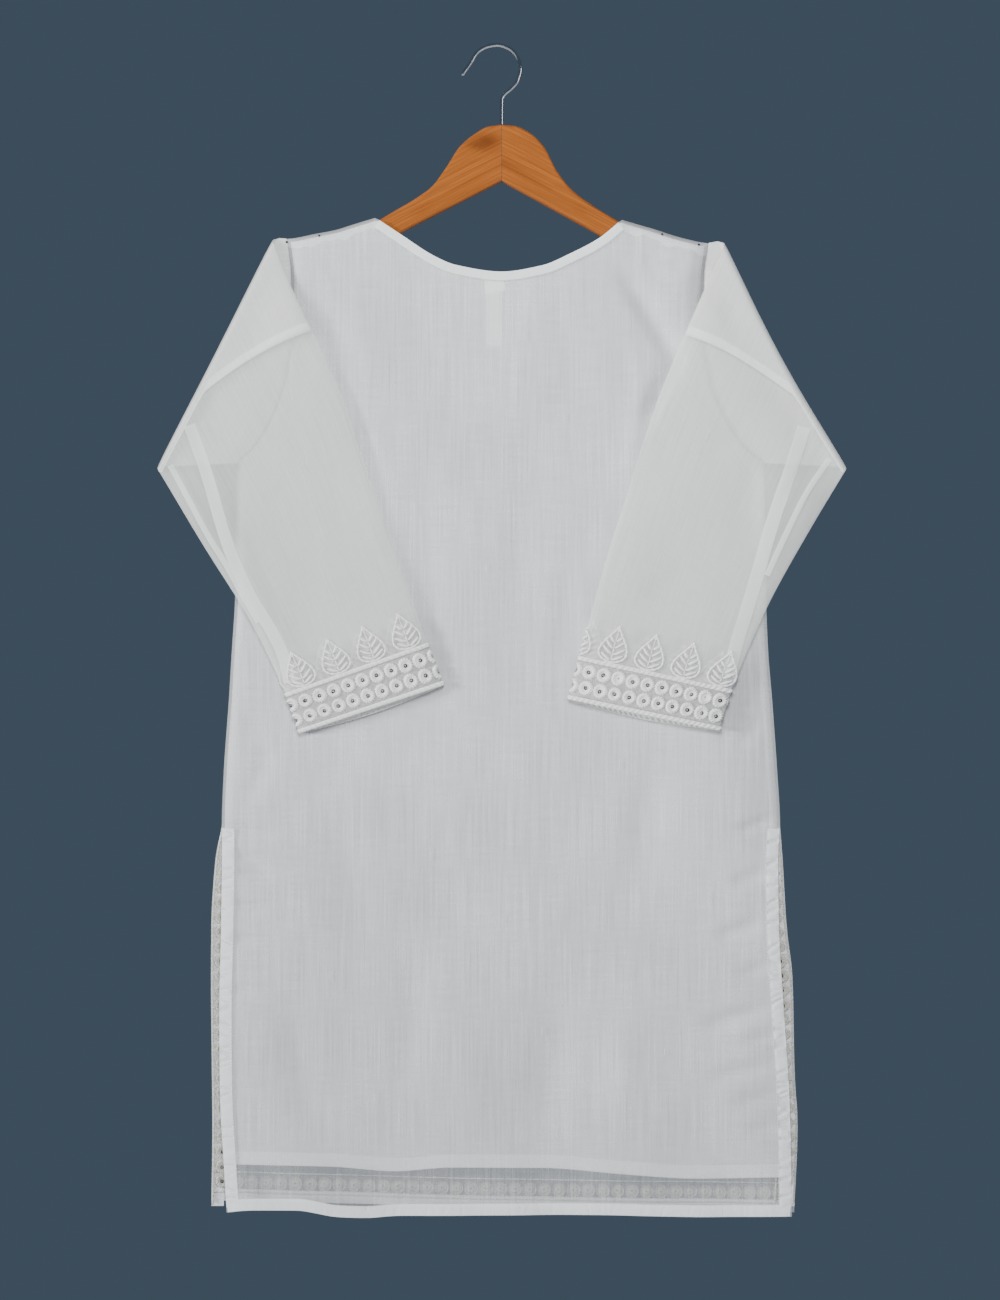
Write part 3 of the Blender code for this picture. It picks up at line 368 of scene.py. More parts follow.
LEFT_SLEEVE = Sleeve(
    "left", -1, Point(-203, 173.9), Point(-306.5, 378.2), 1.0,
    table(Point, (-184.1, 218.9), (-167, 254.9), (-150.8, 290.9), (-137.2, 321),
          (-125.5, 358.4), (-114.8, 391), (-96.8, 444), (-77, 498), (-62.5, 538.4)),
    table(Point, (-263.2, 450.2), (-222.8, 515), (-204, 552), (-189.5, 583.4)),
    Point(-49.1, 572.6), Point(-177.8, 615.8))
RIGHT_SLEEVE = Sleeve(
    "right", 1, Point(204.8, 176.6), Point(314.3, 378.2), 5.0,
    table(Point, (182.2, 227), (164.2, 268.4), (147.2, 309.8), (130.1, 358.4),
          (114.8, 407.9), (102.2, 446), (92.2, 480), (82, 518), (73.4, 550.1)),
    table(Point, (277.7, 439.4), (245.2, 497.9), (226, 540), (209.2, 579.8)),
    Point(64.4, 585.2), Point(199.3, 613.1))
LINING_SLEEVE_END = 0.215
LINING_SLEEVE_FOLD_SHARE = 0.66

# Hanger, with the reach measured from the mitre joint out along an arm
HANGER_CENTRE = 3.7
HANGER_HALF_THICKNESS = 5.0
HANGER_EDGE_RADIUS = 3.0
HOOK_WIRE_RADIUS = 1.75
TIP_START = 164.0
TIP_LENGTH = 5.5
TIP_THINNING = 1.5
MITRE_FOOT = -121.0
ARM_SLOPE = 0.51
ARM_STATIONS = table(
    Station, (0.15, 70.4, 70.4, 121.4, 121.4), (12, 72.2, 71.6, 127.5, 128),
    (24, 78.6, 76.9, 133.6, 134.6), (37.5, 90, 89.5, 140.5, 142), (50, 109.1, 112.5, 146.9, 149),
    (63, 126.3, 128.8, 153.5, 156.1), (79, 137.9, 141.2, 161.7, 164.9),
    (98, 149, 153.2, 171.4, 175.4), (115, 158.8, 162.6, 179.6, 183.6),
    (135, 166.2, 169.6, 187.4, 191.4), (152, 171, 174.2, 192.2, 196),
    (164, 175, 178.2, 194, 197.8), (169.5, 179, 182.2, 191.4, 195.2))
HOOK_PATH = table(
    Point, (-32.2, 25.9), (-23.4, 13.2), (-17.6, 4.4), (-8, -0.6), (0, -1.75), (10.7, 1.6),
    (17.8, 9.3), (20.7, 20), (18.4, 29.8), (11.7, 38.1), (6.2, 42.8), (3.9, 48), (3.7, 70))

# Bands where a sleeve's underarm seam is turned in: half width and centre line
LEFT_ALLOWANCES = [
    (5.4, table(Point, (-276.5, 341), (-261.4, 382.7), (-241.6, 448.4), (-221, 495.2),
                (-203, 524.9), (-192.2, 547.4), (-185.9, 572))),
    (2.6, table(Point, (-293.5, 377), (-276.8, 407.9), (-258.8, 441.2), (-242.6, 467.3),
                (-227.4, 495.2), (-214, 518))),
]
RIGHT_ALLOWANCES = [
    (6.0, table(Point, (275, 343), (263.3, 379.1), (247.1, 425.9), (232.7, 475.4),
                (222.8, 508.7), (213.8, 538.4), (206.6, 566.3))),
    (2.6, table(Point, (298, 371), (277, 402), (258, 440), (241.5, 476))),
]

# Embroidery: round motifs in rows, leaves on the sleeves, and the front's border
DISC_PITCH = 13.2
DISC_ROWS = (10.0, 23.8)
DISC_PETALS = 15
DISC_START = 12.0
DISC_RINGS = [
    (0.9, 0.2), (2.3, 0.1), (3.0, 0.35), (3.6, 0.95), (4.7, 1.2), (5.6, 0.95), (6.2, 0.05),
]
LEAF_WIDTH = 25.0
LEAF_HEIGHT = 33.0
LEAF_PITCH = 32.8
LEAF_FOOT = 2.6
LEAVES = 8
LEAF_START_LEFT = 16.2
LEAF_START_RIGHT = -5.2
LEAF_VEINS = [(0.07, 0.22), (0.21, 0.4), (0.38, 0.57), (0.56, 0.7)]
BORDER_ROW = 17.0
BORDER_CORDS = (8.0, 26.0)
SLIT_BORDER_ROW = 9.5
SLIT_BORDER_CORDS = (1.6, 17.5)
STITCH_PITCH = 2.7
STITCH_RADIUS = 0.3
SLIT_STITCH_RADIUS = 0.36
LOST_SEQUINS = 0.06
SEQUIN_RINGS = ((0.75, 0.45), (1.15, 0.5), (1.75, 0.85))

# Thick spots of single threads: x, drop, length, and how far x moves with the length
FLECKS = [
    (24.4, 254.0, 12.0, 0.03), (-10.4, 465.0, 9.0, 0.0), (60.0, 330.0, 10.0, 0.02),
    (-75.0, 410.0, 14.0, 0.02), (110.0, 640.0, 12.0, 0.0), (-150.0, 830.0, 11.0, -0.02),
    (-60.0, 720.0, 14.0, 0.0), (40.0, 880.0, 12.0, 0.02), (150.0, 900.0, 9.0, 0.0),
    (-110.0, 940.0, 12.0, 0.0), (5.0, 780.0, 10.0, 0.0), (190.0, 760.0, 13.0, -0.02),
]
FLAP_FLECKS = [(-186.0, 309.0, 14.0, 0.3), (-172.0, 372.0, 9.0, 0.25), (190.0, 345.0, 10.0, -0.3)]
SHOULDER_SEQUINS = [-189.5, -160.0, 148.0, 181.0]

LABEL_LEFT = -10.7
LABEL_RIGHT = 5.9
LABEL_TOP = 212.5
LABEL_BOTTOM = 270.8

# Flat cut of each sheet that shows, in metres and square metres
HANGER = ("hanger_arm_left_wood", "hanger_arm_right_wood")
PANEL_TRIM = ("hem_band_%s", "slit_band_%s_left", "slit_band_%s_right", "neck_edge_%s",
              "neck_facing_%s_cloth", "stitching_%s")
SEAM_TRIM = ("allowance_0_%s", "allowance_1_%s")
BACK = ("back_cloth",)
SHEETS = table(
    Cut, ("back_cloth", 0.516, 0.9, 0.414, "hung", HANGER, [n % "back" for n in PANEL_TRIM]),
    ("front_cloth", 0.53, 0.896, 0.408, "hung", HANGER, [n % "front" for n in PANEL_TRIM]),
    ("lining_cloth", 0.51, 0.862, 0.387, "hung", HANGER, []),
    ("label_tape", 0.0166, 0.0585, None, "hung", ("neck_facing_back_cloth",), []),
    ("sleeve_left_cloth", 0.4, 0.42, 0.124, "folded", BACK, [n % "left" for n in SEAM_TRIM]),
    ("sleeve_right_cloth", 0.4, 0.42, 0.125, "folded", BACK, [n % "right" for n in SEAM_TRIM]),
    ("lining_sleeve_left_cloth", 0.4, 0.135, 0.0333, "folded", BACK, []),
    ("lining_sleeve_right_cloth", 0.4, 0.135, 0.0336, "folded", BACK, []),
    ("cuff_net_left", 0.276, 0.031, None, "folded", BACK, []),
    ("cuff_net_right", 0.28, 0.031, None, "folded", BACK, []))


# Floor, lamps and camera, in metres but for the floor
Lamp = namedtuple("Lamp", "name kind place power size")
LAMPS = table(
    Lamp, ("key", "AREA", (0.03, -1.25, 0.06), 20.0, 0.35),
    ("raking", "SUN", (-2.6, -1.05, -0.35), 4.4, 0.2),
    ("right", "AREA", (1.8, -1.9, 0.0), 10.0, 1.1),
    ("rear", "SUN", (0.9, 2.2, 0.6), 3.6, 0.4))
LAMP_AIM = Vector((0.0, 0.0, -0.55))
FLOOR_DROP = 1900
FLOOR_REACH = 9000
FLOOR_BACK = 3200
LENS = 85.0
SENSOR = 36.0
VIEW_HEIGHT = 1.17
VIEW_CENTRE = (0.00225, -0.5429)


def smooth(value):
    """Ease from 0 to 1."""
    t = np.clip(value, 0.0, 1.0)
    return t * t * (3.0 - 2.0 * t)


def mix(a, b, t):
    return a + (b - a) * t


def monotone_curve(keys, values):
    """Smooth curve through the values that doesn't overshoot between its keys."""
    keys = np.asarray(keys, float)
    values = np.asarray(values, float)
    steps = np.diff(keys)
    slopes = np.diff(values) / steps
    tangents = np.zeros(len(keys))
    tangents[0] = slopes[0]
    tangents[-1] = slopes[-1]
    for i in range(1, len(keys) - 1):
        before, after = slopes[i - 1], slopes[i]
        if before * after > 0:
            tangents[i] = 2 * before * after / (before + after)

    def value_at(key):
        key = np.clip(key, keys[0], keys[-1])
        i = np.clip(np.searchsorted(keys, key, side="right") - 1, 0, len(steps) - 1)
        t = (key - keys[i]) / steps[i]
        start = (1 + 2 * t) * (1 - t) ** 2 * values[i] + t * (1 - t) ** 2 * steps[i] * tangents[i]
        end = t * t * (3 - 2 * t) * values[i + 1] + t * t * (t - 1) * steps[i] * tangents[i + 1]
        return start + end

    return value_at


def line_through(points):
    return monotone_curve([p.x for p in points], [p.drop for p in points])


def distances(spots):
    """Distance of each (x, drop) along the line through them."""
    return np.concatenate([[0.0], np.cumsum(np.hypot(*np.diff(spots, axis=0).T))])


def square_to(ahead):
    """Unit directions square to steps of (x, drop)."""
    ahead = ahead / np.hypot(ahead[:, 0], ahead[:, 1])[:, None]
    return np.stack([-ahead[:, 1], ahead[:, 0]], -1)


def route(points):
    """Point (x, drop) at a share of the length of a smooth line through the points."""
    spots = np.array([[p.x, p.drop] for p in points])
    lengths = distances(spots)
    x_at = monotone_curve(lengths, spots[:, 0])
    drop_at = monotone_curve(lengths, spots[:, 1])
    total = lengths[-1]

    def place(share):
        return np.stack([x_at(np.asarray(share) * total), drop_at(np.asarray(share) * total)], -1)

    place.length = total
    return place


SHOULDER_LEFT = line_through(SHOULDER_LEFT_LINE)
SHOULDER_RIGHT = line_through(SHOULDER_RIGHT_LINE)


def ridge(x):
    """Drop of the shoulder seam, carried on up the hanger inside the neck."""
    left = SHOULDER_LEFT(NECK_LEFT) - (x - NECK_LEFT) * NECK_RIDGE_SLOPE
    right = SHOULDER_RIGHT(NECK_RIGHT) - (NECK_RIGHT - x) * NECK_RIDGE_SLOPE
    inside = np.maximum(left, right)
    inside = np.where(x >= NECK_RIGHT, SHOULDER_RIGHT(x), inside)
    return np.where(x <= NECK_LEFT, SHOULDER_LEFT(x), inside)


def section_depth(share, depth):
    """Half thickness of a flat tube at a share of its width."""
    roundness = np.sqrt(np.clip(1.0 - np.abs(2.0 * share - 1.0) ** 4, 0.0, 1.0))
    return TUBE_EDGE_DEPTH + (depth - TUBE_EDGE_DEPTH) * roundness


def crease_height(x, drop, creases):
    """Sum of soft troughs and ridges, each fading out towards its ends."""
    total = np.zeros(np.shape(x))
    for c in creases:
        along_x, along_drop = c.end_x - c.x, c.end_drop - c.drop
        length = math.hypot(along_x, along_drop)
        t = ((x - c.x) * along_x + (drop - c.drop) * along_drop) / length ** 2
        aside = ((x - c.x) * along_drop - (drop - c.drop) * along_x) / length
        fade = smooth(t / CREASE_FADE) * smooth((1.0 - t) / CREASE_FADE)
        total = total + c.height * np.exp(-(aside / c.width) ** 2) * fade
    return total


class BodyPanel:
    """One panel of the body: its outline and its outer face, which looks along facing."""

    def __init__(self, facing, slit_sides, neck, hem, folds, creases):
        self.facing = facing
        sides = ARMHOLE_SIDES + slit_sides
        drops = [row.drop for row in sides]
        self.left = monotone_curve(drops, [row.left for row in sides])
        self.right = monotone_curve(drops, [row.right for row in sides])
        self.neck = line_through(neck)
        self.neck_route = route(neck)
        self.hem = line_through(hem)
        self.folds = folds
        self.creases = creases

    def top(self, x):
        return np.where((x > NECK_LEFT) & (x < NECK_RIGHT), self.neck(x), ridge(x))

    def depth(self, x, drop):
        """Distance of the outer face from the mid plane."""
        from_left = x - self.left(drop)
        from_right = self.right(drop) - x
        inside = np.clip(np.minimum(from_left, from_right), 0.0, None)
        top = np.where(from_left < from_right, ARMHOLE_TOP_LEFT.drop, ARMHOLE_TOP_RIGHT.drop)
        share = np.clip((drop - top) / (UNDERARM_DROP - top), 0.0, 1.0)
        armhole = section_depth(share, ARMHOLE_DEPTH)
        seam = mix(TUBE_EDGE_DEPTH, SIDE_SEAM_DEPTH, smooth((drop - UNDERARM_DROP) / 20.0))
        seam = mix(seam, SLIT_EDGE_DEPTH, smooth((drop - SLIT_TOP_DROP) / 60.0))
        edge = np.where(drop <= UNDERARM_DROP, armhole, seam)
        upper = mix(SHOULDER_DEPTH, CHEST_DEPTH,
                    smooth((drop - SHOULDER_LEVEL) / (CHEST_DROP - SHOULDER_LEVEL)))
        full = mix(upper, HEM_DEPTH, smooth((drop - SLIT_TOP_DROP) / (HEM_DROP - SLIT_TOP_DROP)))
        for fold in self.folds:
            across = np.exp(-((x - fold.centre) / fold.width) ** 2)
            reach = smooth((drop - fold.start) / (HEM_DROP - fold.start))
            full = full + fold.height * across * reach
        rounding = mix(SHOULDER_ROUNDING, BODY_ROUNDING, smooth((drop - 190.0) / 80.0))
        lateral = edge + (full - edge) * np.sin(math.pi / 2 * np.clip(inside / rounding, 0.0, 1.0))
        below = np.clip(drop - ridge(x), 0.0, ROOF_RADIUS)
        roof = np.sqrt(1.0 - (1.0 - below / ROOF_RADIUS) ** 2)
        edge_seam = mix(SIDE_SEAM_DEPTH, RIDGE_HALF, smooth((lateral - 2.5) / 4.0))
        return edge_seam + (lateral - edge_seam) * roof

    def slit_pucker(self, x, drop):
        """Small ripples that the slit's stitching draws along its edge."""
        inside = np.minimum(x - self.left(drop), self.right(drop) - x)
        below = smooth((drop - SLIT_TOP_DROP - SLIT_BAND_START) / 20.0)
        wave = np.sin(drop / 3.1 + 1.7 * np.sin(drop / 23.0)) + 0.6 * np.sin(drop / 5.3 + x * 0.02)
        return PUCKER_HEIGHT * (smooth(1.0 - inside / PUCKER_REACH) * below) * wave

    def outer(self, x, drop, lift=0.0):
        """Point of the creased outer face, raised by lift."""
        soft = crease_height(x, drop, self.creases) + self.slit_pucker(x, drop)
        near_hem = smooth((drop - HEM_DROP + FLUTE_REACH) / FLUTE_REACH)
        soft = soft + FLUTE_HEIGHT * (np.sin(x / 12.5 + 0.8 * np.sin(x / 41.0)) * near_hem)
        below = smooth((drop - ridge(x) - CREASE_START) / CREASE_REACH)
        y = self.facing * (self.depth(x, drop) + soft * below + lift)
        return np.stack([x + np.zeros_like(y), y, -drop + np.zeros_like(y)], -1)

    def grid(self, columns, shares, hem=None, edge=0.0, top_gap=0.0):
        """Grid of x and drop over the whole panel, from its top edge to a hem."""
        start = columns[None, :]
        share = (start - BODY_LEFT) / (BODY_RIGHT - BODY_LEFT)
        top = self.top(start) + top_gap
        hem = hem or self.hem

        def across(drop):
            low = np.maximum(drop, ARMHOLE_TOP_RIGHT.drop)
            left_top = self.left(np.maximum(top, ARMHOLE_TOP_LEFT.drop))
            right_top = self.right(np.maximum(top, ARMHOLE_TOP_RIGHT.drop))
            left_move = self.left(drop) - left_top + edge
            right_move = self.right(low) - right_top - edge
            return start + left_move * (1.0 - share) + right_move * share

        bottom = hem(across(np.full_like(start, HEM_DROP)))
        drop = top + (bottom - top) * shares[:, None]
        return across(drop), drop


def neck_distance(body, x, drop):
    """How far a point lies below the neck edge, square to it."""
    spots = body.neck_route(np.linspace(0.0, 1.0, 160))
    gap = (x[..., None] - spots[:, 0]) ** 2 + (drop[..., None] - spots[:, 1]) ** 2
    return np.sqrt(gap.min(-1))


def panel_columns(step):
    """Columns that meet both neck points."""
    parts = []
    for low, high in ((BODY_LEFT, NECK_LEFT), (NECK_LEFT, NECK_RIGHT), (NECK_RIGHT, BODY_RIGHT)):
        parts.append(np.linspace(low, high, round((high - low) / step) + 1)[:-1])
    return np.concatenate(parts + [[BODY_RIGHT]])


def panel_rows(step):
    """Shares down a panel, close together over the shoulder."""
    near = np.array([0.0, 0.2, 0.7, 1.6, 3.0, 5.0, 7.5, 10.5, 14.0])
    far = np.arange(18.0, PANEL_HEIGHT, step)
    return np.concatenate([near, far, [PANEL_HEIGHT]]) / PANEL_HEIGHT


def add_attribute(mesh, name, values):
    kind, key = ("FLOAT_VECTOR", "vector") if values.shape[-1] == 3 else ("FLOAT", "value")
    attribute = mesh.attributes.new(name, kind, "POINT")
    attribute.data.foreach_set(key, values.astype(np.float32).ravel())


def join_scene(item):
    bpy.context.scene.collection.objects.link(item)


def finish_piece(item, material, slot, replaces=()):
    join_scene(item)
    item.data.materials.append(material)
    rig.ride(item, BODY)
    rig.slot(item, slot)
    if replaces:
        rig.replaces(item, *replaces)


def mesh_from(name, points, faces):
    mesh = bpy.data.meshes.new(name)
    mesh.from_pydata((np.asarray(points) * MM).tolist(), [], np.asarray(faces).tolist())
    mesh.update()
    mesh.shade_smooth()
    return bpy.data.objects.new(name, mesh)


def grid_faces(rows, columns):
    index = np.arange(rows * columns).reshape(rows, columns)
    corners = [index[:-1, :-1], index[:-1, 1:], index[1:, 1:], index[1:, :-1]]
    return np.stack(corners, -1).reshape(-1, 4)


def grid_object(name, points, facing):
    """Grid of points made a mesh that faces along +Y (1), -Y (-1), or out of a sleeve (0)."""
    rows, columns = points.shape[:2]
    item = mesh_from(name, points.reshape(-1, 3), grid_faces(rows, columns))
    count = len(item.data.polygons)
    normals = np.zeros(count * 3)
    centres = np.zeros(count * 3)
    areas = np.zeros(count)
    item.data.polygons.foreach_get("normal", normals)
    item.data.polygons.foreach_get("center", centres)
    item.data.polygons.foreach_get("area", areas)
    normal_y = normals.reshape(-1, 3)[:, 1]
    if facing:
        wrong = (normal_y * areas).sum() * facing < 0
    else:
        level = np.where(np.abs(normal_y) > 0.8)[0]
        wrong = normal_y[level[np.argmin(centres.reshape(-1, 3)[level, 1])]] > 0
    if wrong:
        item.data.flip_normals()
    return item


def add_wall(item, thickness):
    solid = item.modifiers.new("wall", "SOLIDIFY")
    solid.thickness = thickness * MM
    solid.offset = -1.0


def thread_map(x, drop):
    """Place of each point in the cloth's own plane."""
    return np.stack([x, drop, np.zeros_like(x)], -1)


def cloth_piece(name, points, cloth, band, facing, material, slot, replaces, wall=0.0):
    """Shell of cloth with its thread directions and the distance from its denser bands.

    Sheer cloth has no wall, since the renderer stops after a few see-through faces.
    """
    item = grid_object(name, points, facing)
    add_attribute(item.data, "cloth", np.reshape(cloth, (-1, 3)) * MM)
    add_attribute(item.data, "band", np.reshape(band, (-1, 1)) * MM)
    finish_piece(item, material, slot, replaces)
    if wall:
        add_wall(item, wall)


class FoldedSleeve:
    """A flat tube set in at the armhole, folded over along a line onto the back.

    layer +1 is the tube's front half, which ends up outside once folded, and -1 its back half.
    """

    def __init__(self, sleeve, body, creases):
        self.sleeve = sleeve
        self.body = body
        self.creases = creases
        self.sign = sleeve.sign
        top, bottom = np.array(sleeve.fold_top), np.array(sleeve.fold_bottom)
        self.along = (bottom - top) / np.hypot(*(bottom - top))
        self.out = np.array([self.along[1], -self.along[0]]) * self.sign
        inset = self.out * (FOLD_RADIUS + FOLD_DEPTH)
        self.axis_top = top - inset
        self.axis_bottom = bottom - inset
        inner_start = self.axis_top + self.along * TOP_EDGE_SHIFT / 2
        outer_start = self.axis_bottom + self.along * UNDER_EDGE_SHIFT / 2
        self.inner = route([Point(*inner_start)] + sleeve.inner)
        self.outer = route([Point(*outer_start)] + sleeve.outer)
        self.armhole_top = ARMHOLE_TOP_LEFT if self.sign < 0 else ARMHOLE_TOP_RIGHT
        self.top_move = np.array(sleeve.cuff_inner) - np.array(sleeve.inner[-1])
        self.bottom_move = np.array(sleeve.cuff_outer) - np.array(sleeve.outer[-1])
        self.length = self.inner.length
        cuff = np.array(sleeve.outer[-1]) - np.array(sleeve.inner[-1])
        self.width = float(np.hypot(*cuff))

    def fold_line(self, share, turn):
        """Point of the fold's axis, which slides along itself as the cloth turns round it."""
        top = self.axis_top + self.along * TOP_EDGE_SHIFT * (turn - 0.5)
        bottom = self.axis_bottom + self.along * UNDER_EDGE_SHIFT * (turn - 0.5)
        point = mix(top, bottom, share[..., None])
        return point - self.out * (self.sleeve.bow * np.sin(math.pi * share))[..., None]

    def armhole(self, share):
        drop = mix(self.armhole_top.drop, UNDERARM_DROP, share)
        edge = self.body.left if self.sign < 0 else self.body.right
        return np.stack([edge(drop) + self.sign * SEAM_GAP, drop], -1)

    def stub(self, at, share, layer, amount):
        point = mix(self.armhole(share), self.fold_line(share, 0.0), at)
        depth = section_depth(share, mix(ARMHOLE_DEPTH, FOLD_DEPTH, at)) + amount
        return np.stack([point[..., 0], layer * depth, -point[..., 1]], -1)

    def bend(self, turn, share, layer, amount):
        base = self.fold_line(share, turn)
        radius = FOLD_RADIUS + layer * (section_depth(share, FOLD_DEPTH) + amount)
        reach = radius * math.sin(math.pi * turn)
        y = -FOLD_RADIUS + radius * math.cos(math.pi * turn)
        x, drop = base[..., 0] + self.out[0] * reach, base[..., 1] + self.out[1] * reach
        return np.stack([x, y, -drop], -1)

    def rest_depth(self, point, at):
        """Depth at which the folded sleeve's inner layer lies."""
        from_fold = ((self.axis_top - point) * self.out).sum(-1)
        near = 2 * FOLD_RADIUS - FOLD_DEPTH
        resting = mix(near, FLAP_REST, smooth(from_fold / FLAP_REACH))
        return resting + CUFF_LIFT * smooth((at - LIFT_START) / LIFT_RUN)

    def flap(self, at, share, layer, amount, beyond=0.0):
        """Point of the folded part; beyond is how far past the sleeve's end, into the cuff."""
        at = np.asarray(at, float) + np.zeros_like(share)
        step = (np.asarray(beyond) / CUFF_HEIGHT + np.zeros_like(share))[..., None]
        top = self.inner(at) + self.top_move * step
        bottom = self.outer(at) + self.bottom_move * step
        chord = np.hypot(*np.moveaxis(bottom - top, -1, 0))
        point = mix(top, bottom, (0.5 + (share - 0.5) * (1.0 + 2.0 * amount / chord))[..., None])
        bow = self.sleeve.bow * np.sin(math.pi * share) * (1.0 - smooth(at / SETTLE_SHARE))
        point = point - self.out * bow[..., None]
        lip = CUFF_LIP * np.sin(math.pi * share) * smooth((at - LIP_START) / LIP_RUN)
        lip = np.where(layer < 0, lip, 0.0)
        down = self.top_move / np.hypot(*self.top_move)
        point = point + down * lip[..., None]
        depth = mix(FOLD_DEPTH, SLEEVE_DEPTH, smooth(at / SETTLE_SHARE))
        width = section_depth(share, depth)
        resting = -(self.rest_depth(point, at) + width)
        middle = mix(-2 * FOLD_RADIUS, resting, smooth(at / UNBEND_SHARE))
        soft = crease_height(point[..., 0], point[..., 1], self.creases) * np.sin(math.pi * share)
        soft = np.where(layer > 0, soft * smooth(at / FLAP_CREASE_SHARE), 0.0)
        y = middle - layer * (width + amount) - soft
        return np.stack([point[..., 0], y, -point[..., 1]], -1)

    def spot(self, x, drop):
        """Sleeve coordinates of a place on the flap's outer layer, found by Newton's steps."""
        at = np.full(np.shape(x), 0.5)
        share = np.full(np.shape(x), 0.5)
        outer = np.ones(np.shape(x))
        for _ in range(SEARCH_STEPS):
            here = self.flap(at, share, outer, 0.0)
            by_at = (self.flap(at + NUDGE, share, outer, 0.0) - here) / NUDGE
            by_share = (self.flap(at, share + NUDGE, outer, 0.0) - here) / NUDGE
            gap_x, gap_z = x - here[..., 0], -drop - here[..., 2]
            scale = by_at[..., 0] * by_share[..., 2] - by_at[..., 2] * by_share[..., 0]
            at = at + (gap_x * by_share[..., 2] - gap_z * by_share[..., 0]) / scale
            share = share + (gap_z * by_at[..., 0] - gap_x * by_at[..., 2]) / scale
            at = np.clip(at, 0.002, 0.995)
            share = np.clip(share, 0.003, 0.99)
        return at, share

    def on_flap(self, x, drop, lift):
        """Point on the flap's outer layer above a place seen square on."""
        at, share = self.spot(np.asarray(x, float), np.asarray(drop, float))
        return self.flap(at, share, np.ones(at.shape), lift)

    def surface(self, around, height, lift):
        """Point near the cuff: around from the overarm edge, height above the cuff's seam."""
        turn = np.mod(np.asarray(around, float) / self.width, 2.0)
        layer = np.where(turn < 1.0, 1.0, -1.0)
        share = np.where(turn < 1.0, turn, 2.0 - turn)
        at = 1.0 - np.clip(height, 0.0, None) / mix(self.inner.length, self.outer.length, share)
        beyond = np.clip(-np.asarray(height), 0.0, None)
        return self.flap(at, share, layer, lift, beyond)


class Relief:
    """Many small forms gathered into one piece."""

    def __init__(self):
        self.points = []
        self.faces = []
        self.count = 0

    def add(self, points, faces):
        self.points.append(points.reshape(-1, 3))
        self.faces.append(faces + self.count)
        self.count += points.size // 3

    def strands(self, centres, radii, up=OUT_OF_BACK, sides=4):
        """Thin tubes through rows of centres, where up points out of the cloth."""
        centres = np.asarray(centres, float)
        ahead = np.gradient(centres, axis=1)
        ahead = ahead / np.linalg.norm(ahead, axis=-1, keepdims=True)
        side = np.cross(ahead, np.asarray(up, float))
        side = side / np.linalg.norm(side, axis=-1, keepdims=True)
        lift = np.cross(side, ahead)
        turn = turns(sides)[:, None]
        ring = side[:, :, None] * np.cos(turn) + lift[:, :, None] * np.sin(turn)
        radii = np.broadcast_to(radii, centres.shape[:2])[..., None, None]
        points = centres[:, :, None] + ring * radii
        index = np.arange(points.size // 3).reshape(points.shape[:3])
        across = np.roll(index, -1, axis=2)
        walls = np.stack([index[:, :-1], index[:, 1:], across[:, 1:], across[:, :-1]], -1)
        self.add(points, walls.reshape(-1, 4))

    def dome(self, rings, up):
        """Round form given by its rings, from the innermost out."""
        index = np.arange(rings.size // 3).reshape(rings.shape[:2])
        across = np.roll(index, -1, axis=1)
        faces = np.stack([index[:-1], index[1:], across[1:], across[:-1]], -1).reshape(-1, 4)
        normal = np.cross(rings[1, 0] - rings[0, 0], rings[0, 1] - rings[0, 0])
        if normal @ np.asarray(up) < 0:
            faces = faces[:, ::-1]
        self.add(rings, faces)

    def piece(self, name, material, slot):
        item = mesh_from(name, np.concatenate(self.points), np.concatenate(self.faces))
        finish_piece(item, material, slot)


def turns(steps):
    """Angles of even steps round a circle."""
    return np.arange(steps) * 2 * math.pi / steps


def tube_columns(steps):
    """Shares and layers of the points round a flat tube, close together at its edges."""
    shares = (1.0 - np.cos(math.pi * np.arange(steps + 1) / steps)) / 2.0
    share = np.concatenate([shares, shares[::-1]])
    layer = np.concatenate([np.ones(steps + 1), -np.ones(steps + 1)])
    return np.append(share, share[0]), np.append(layer, layer[0])


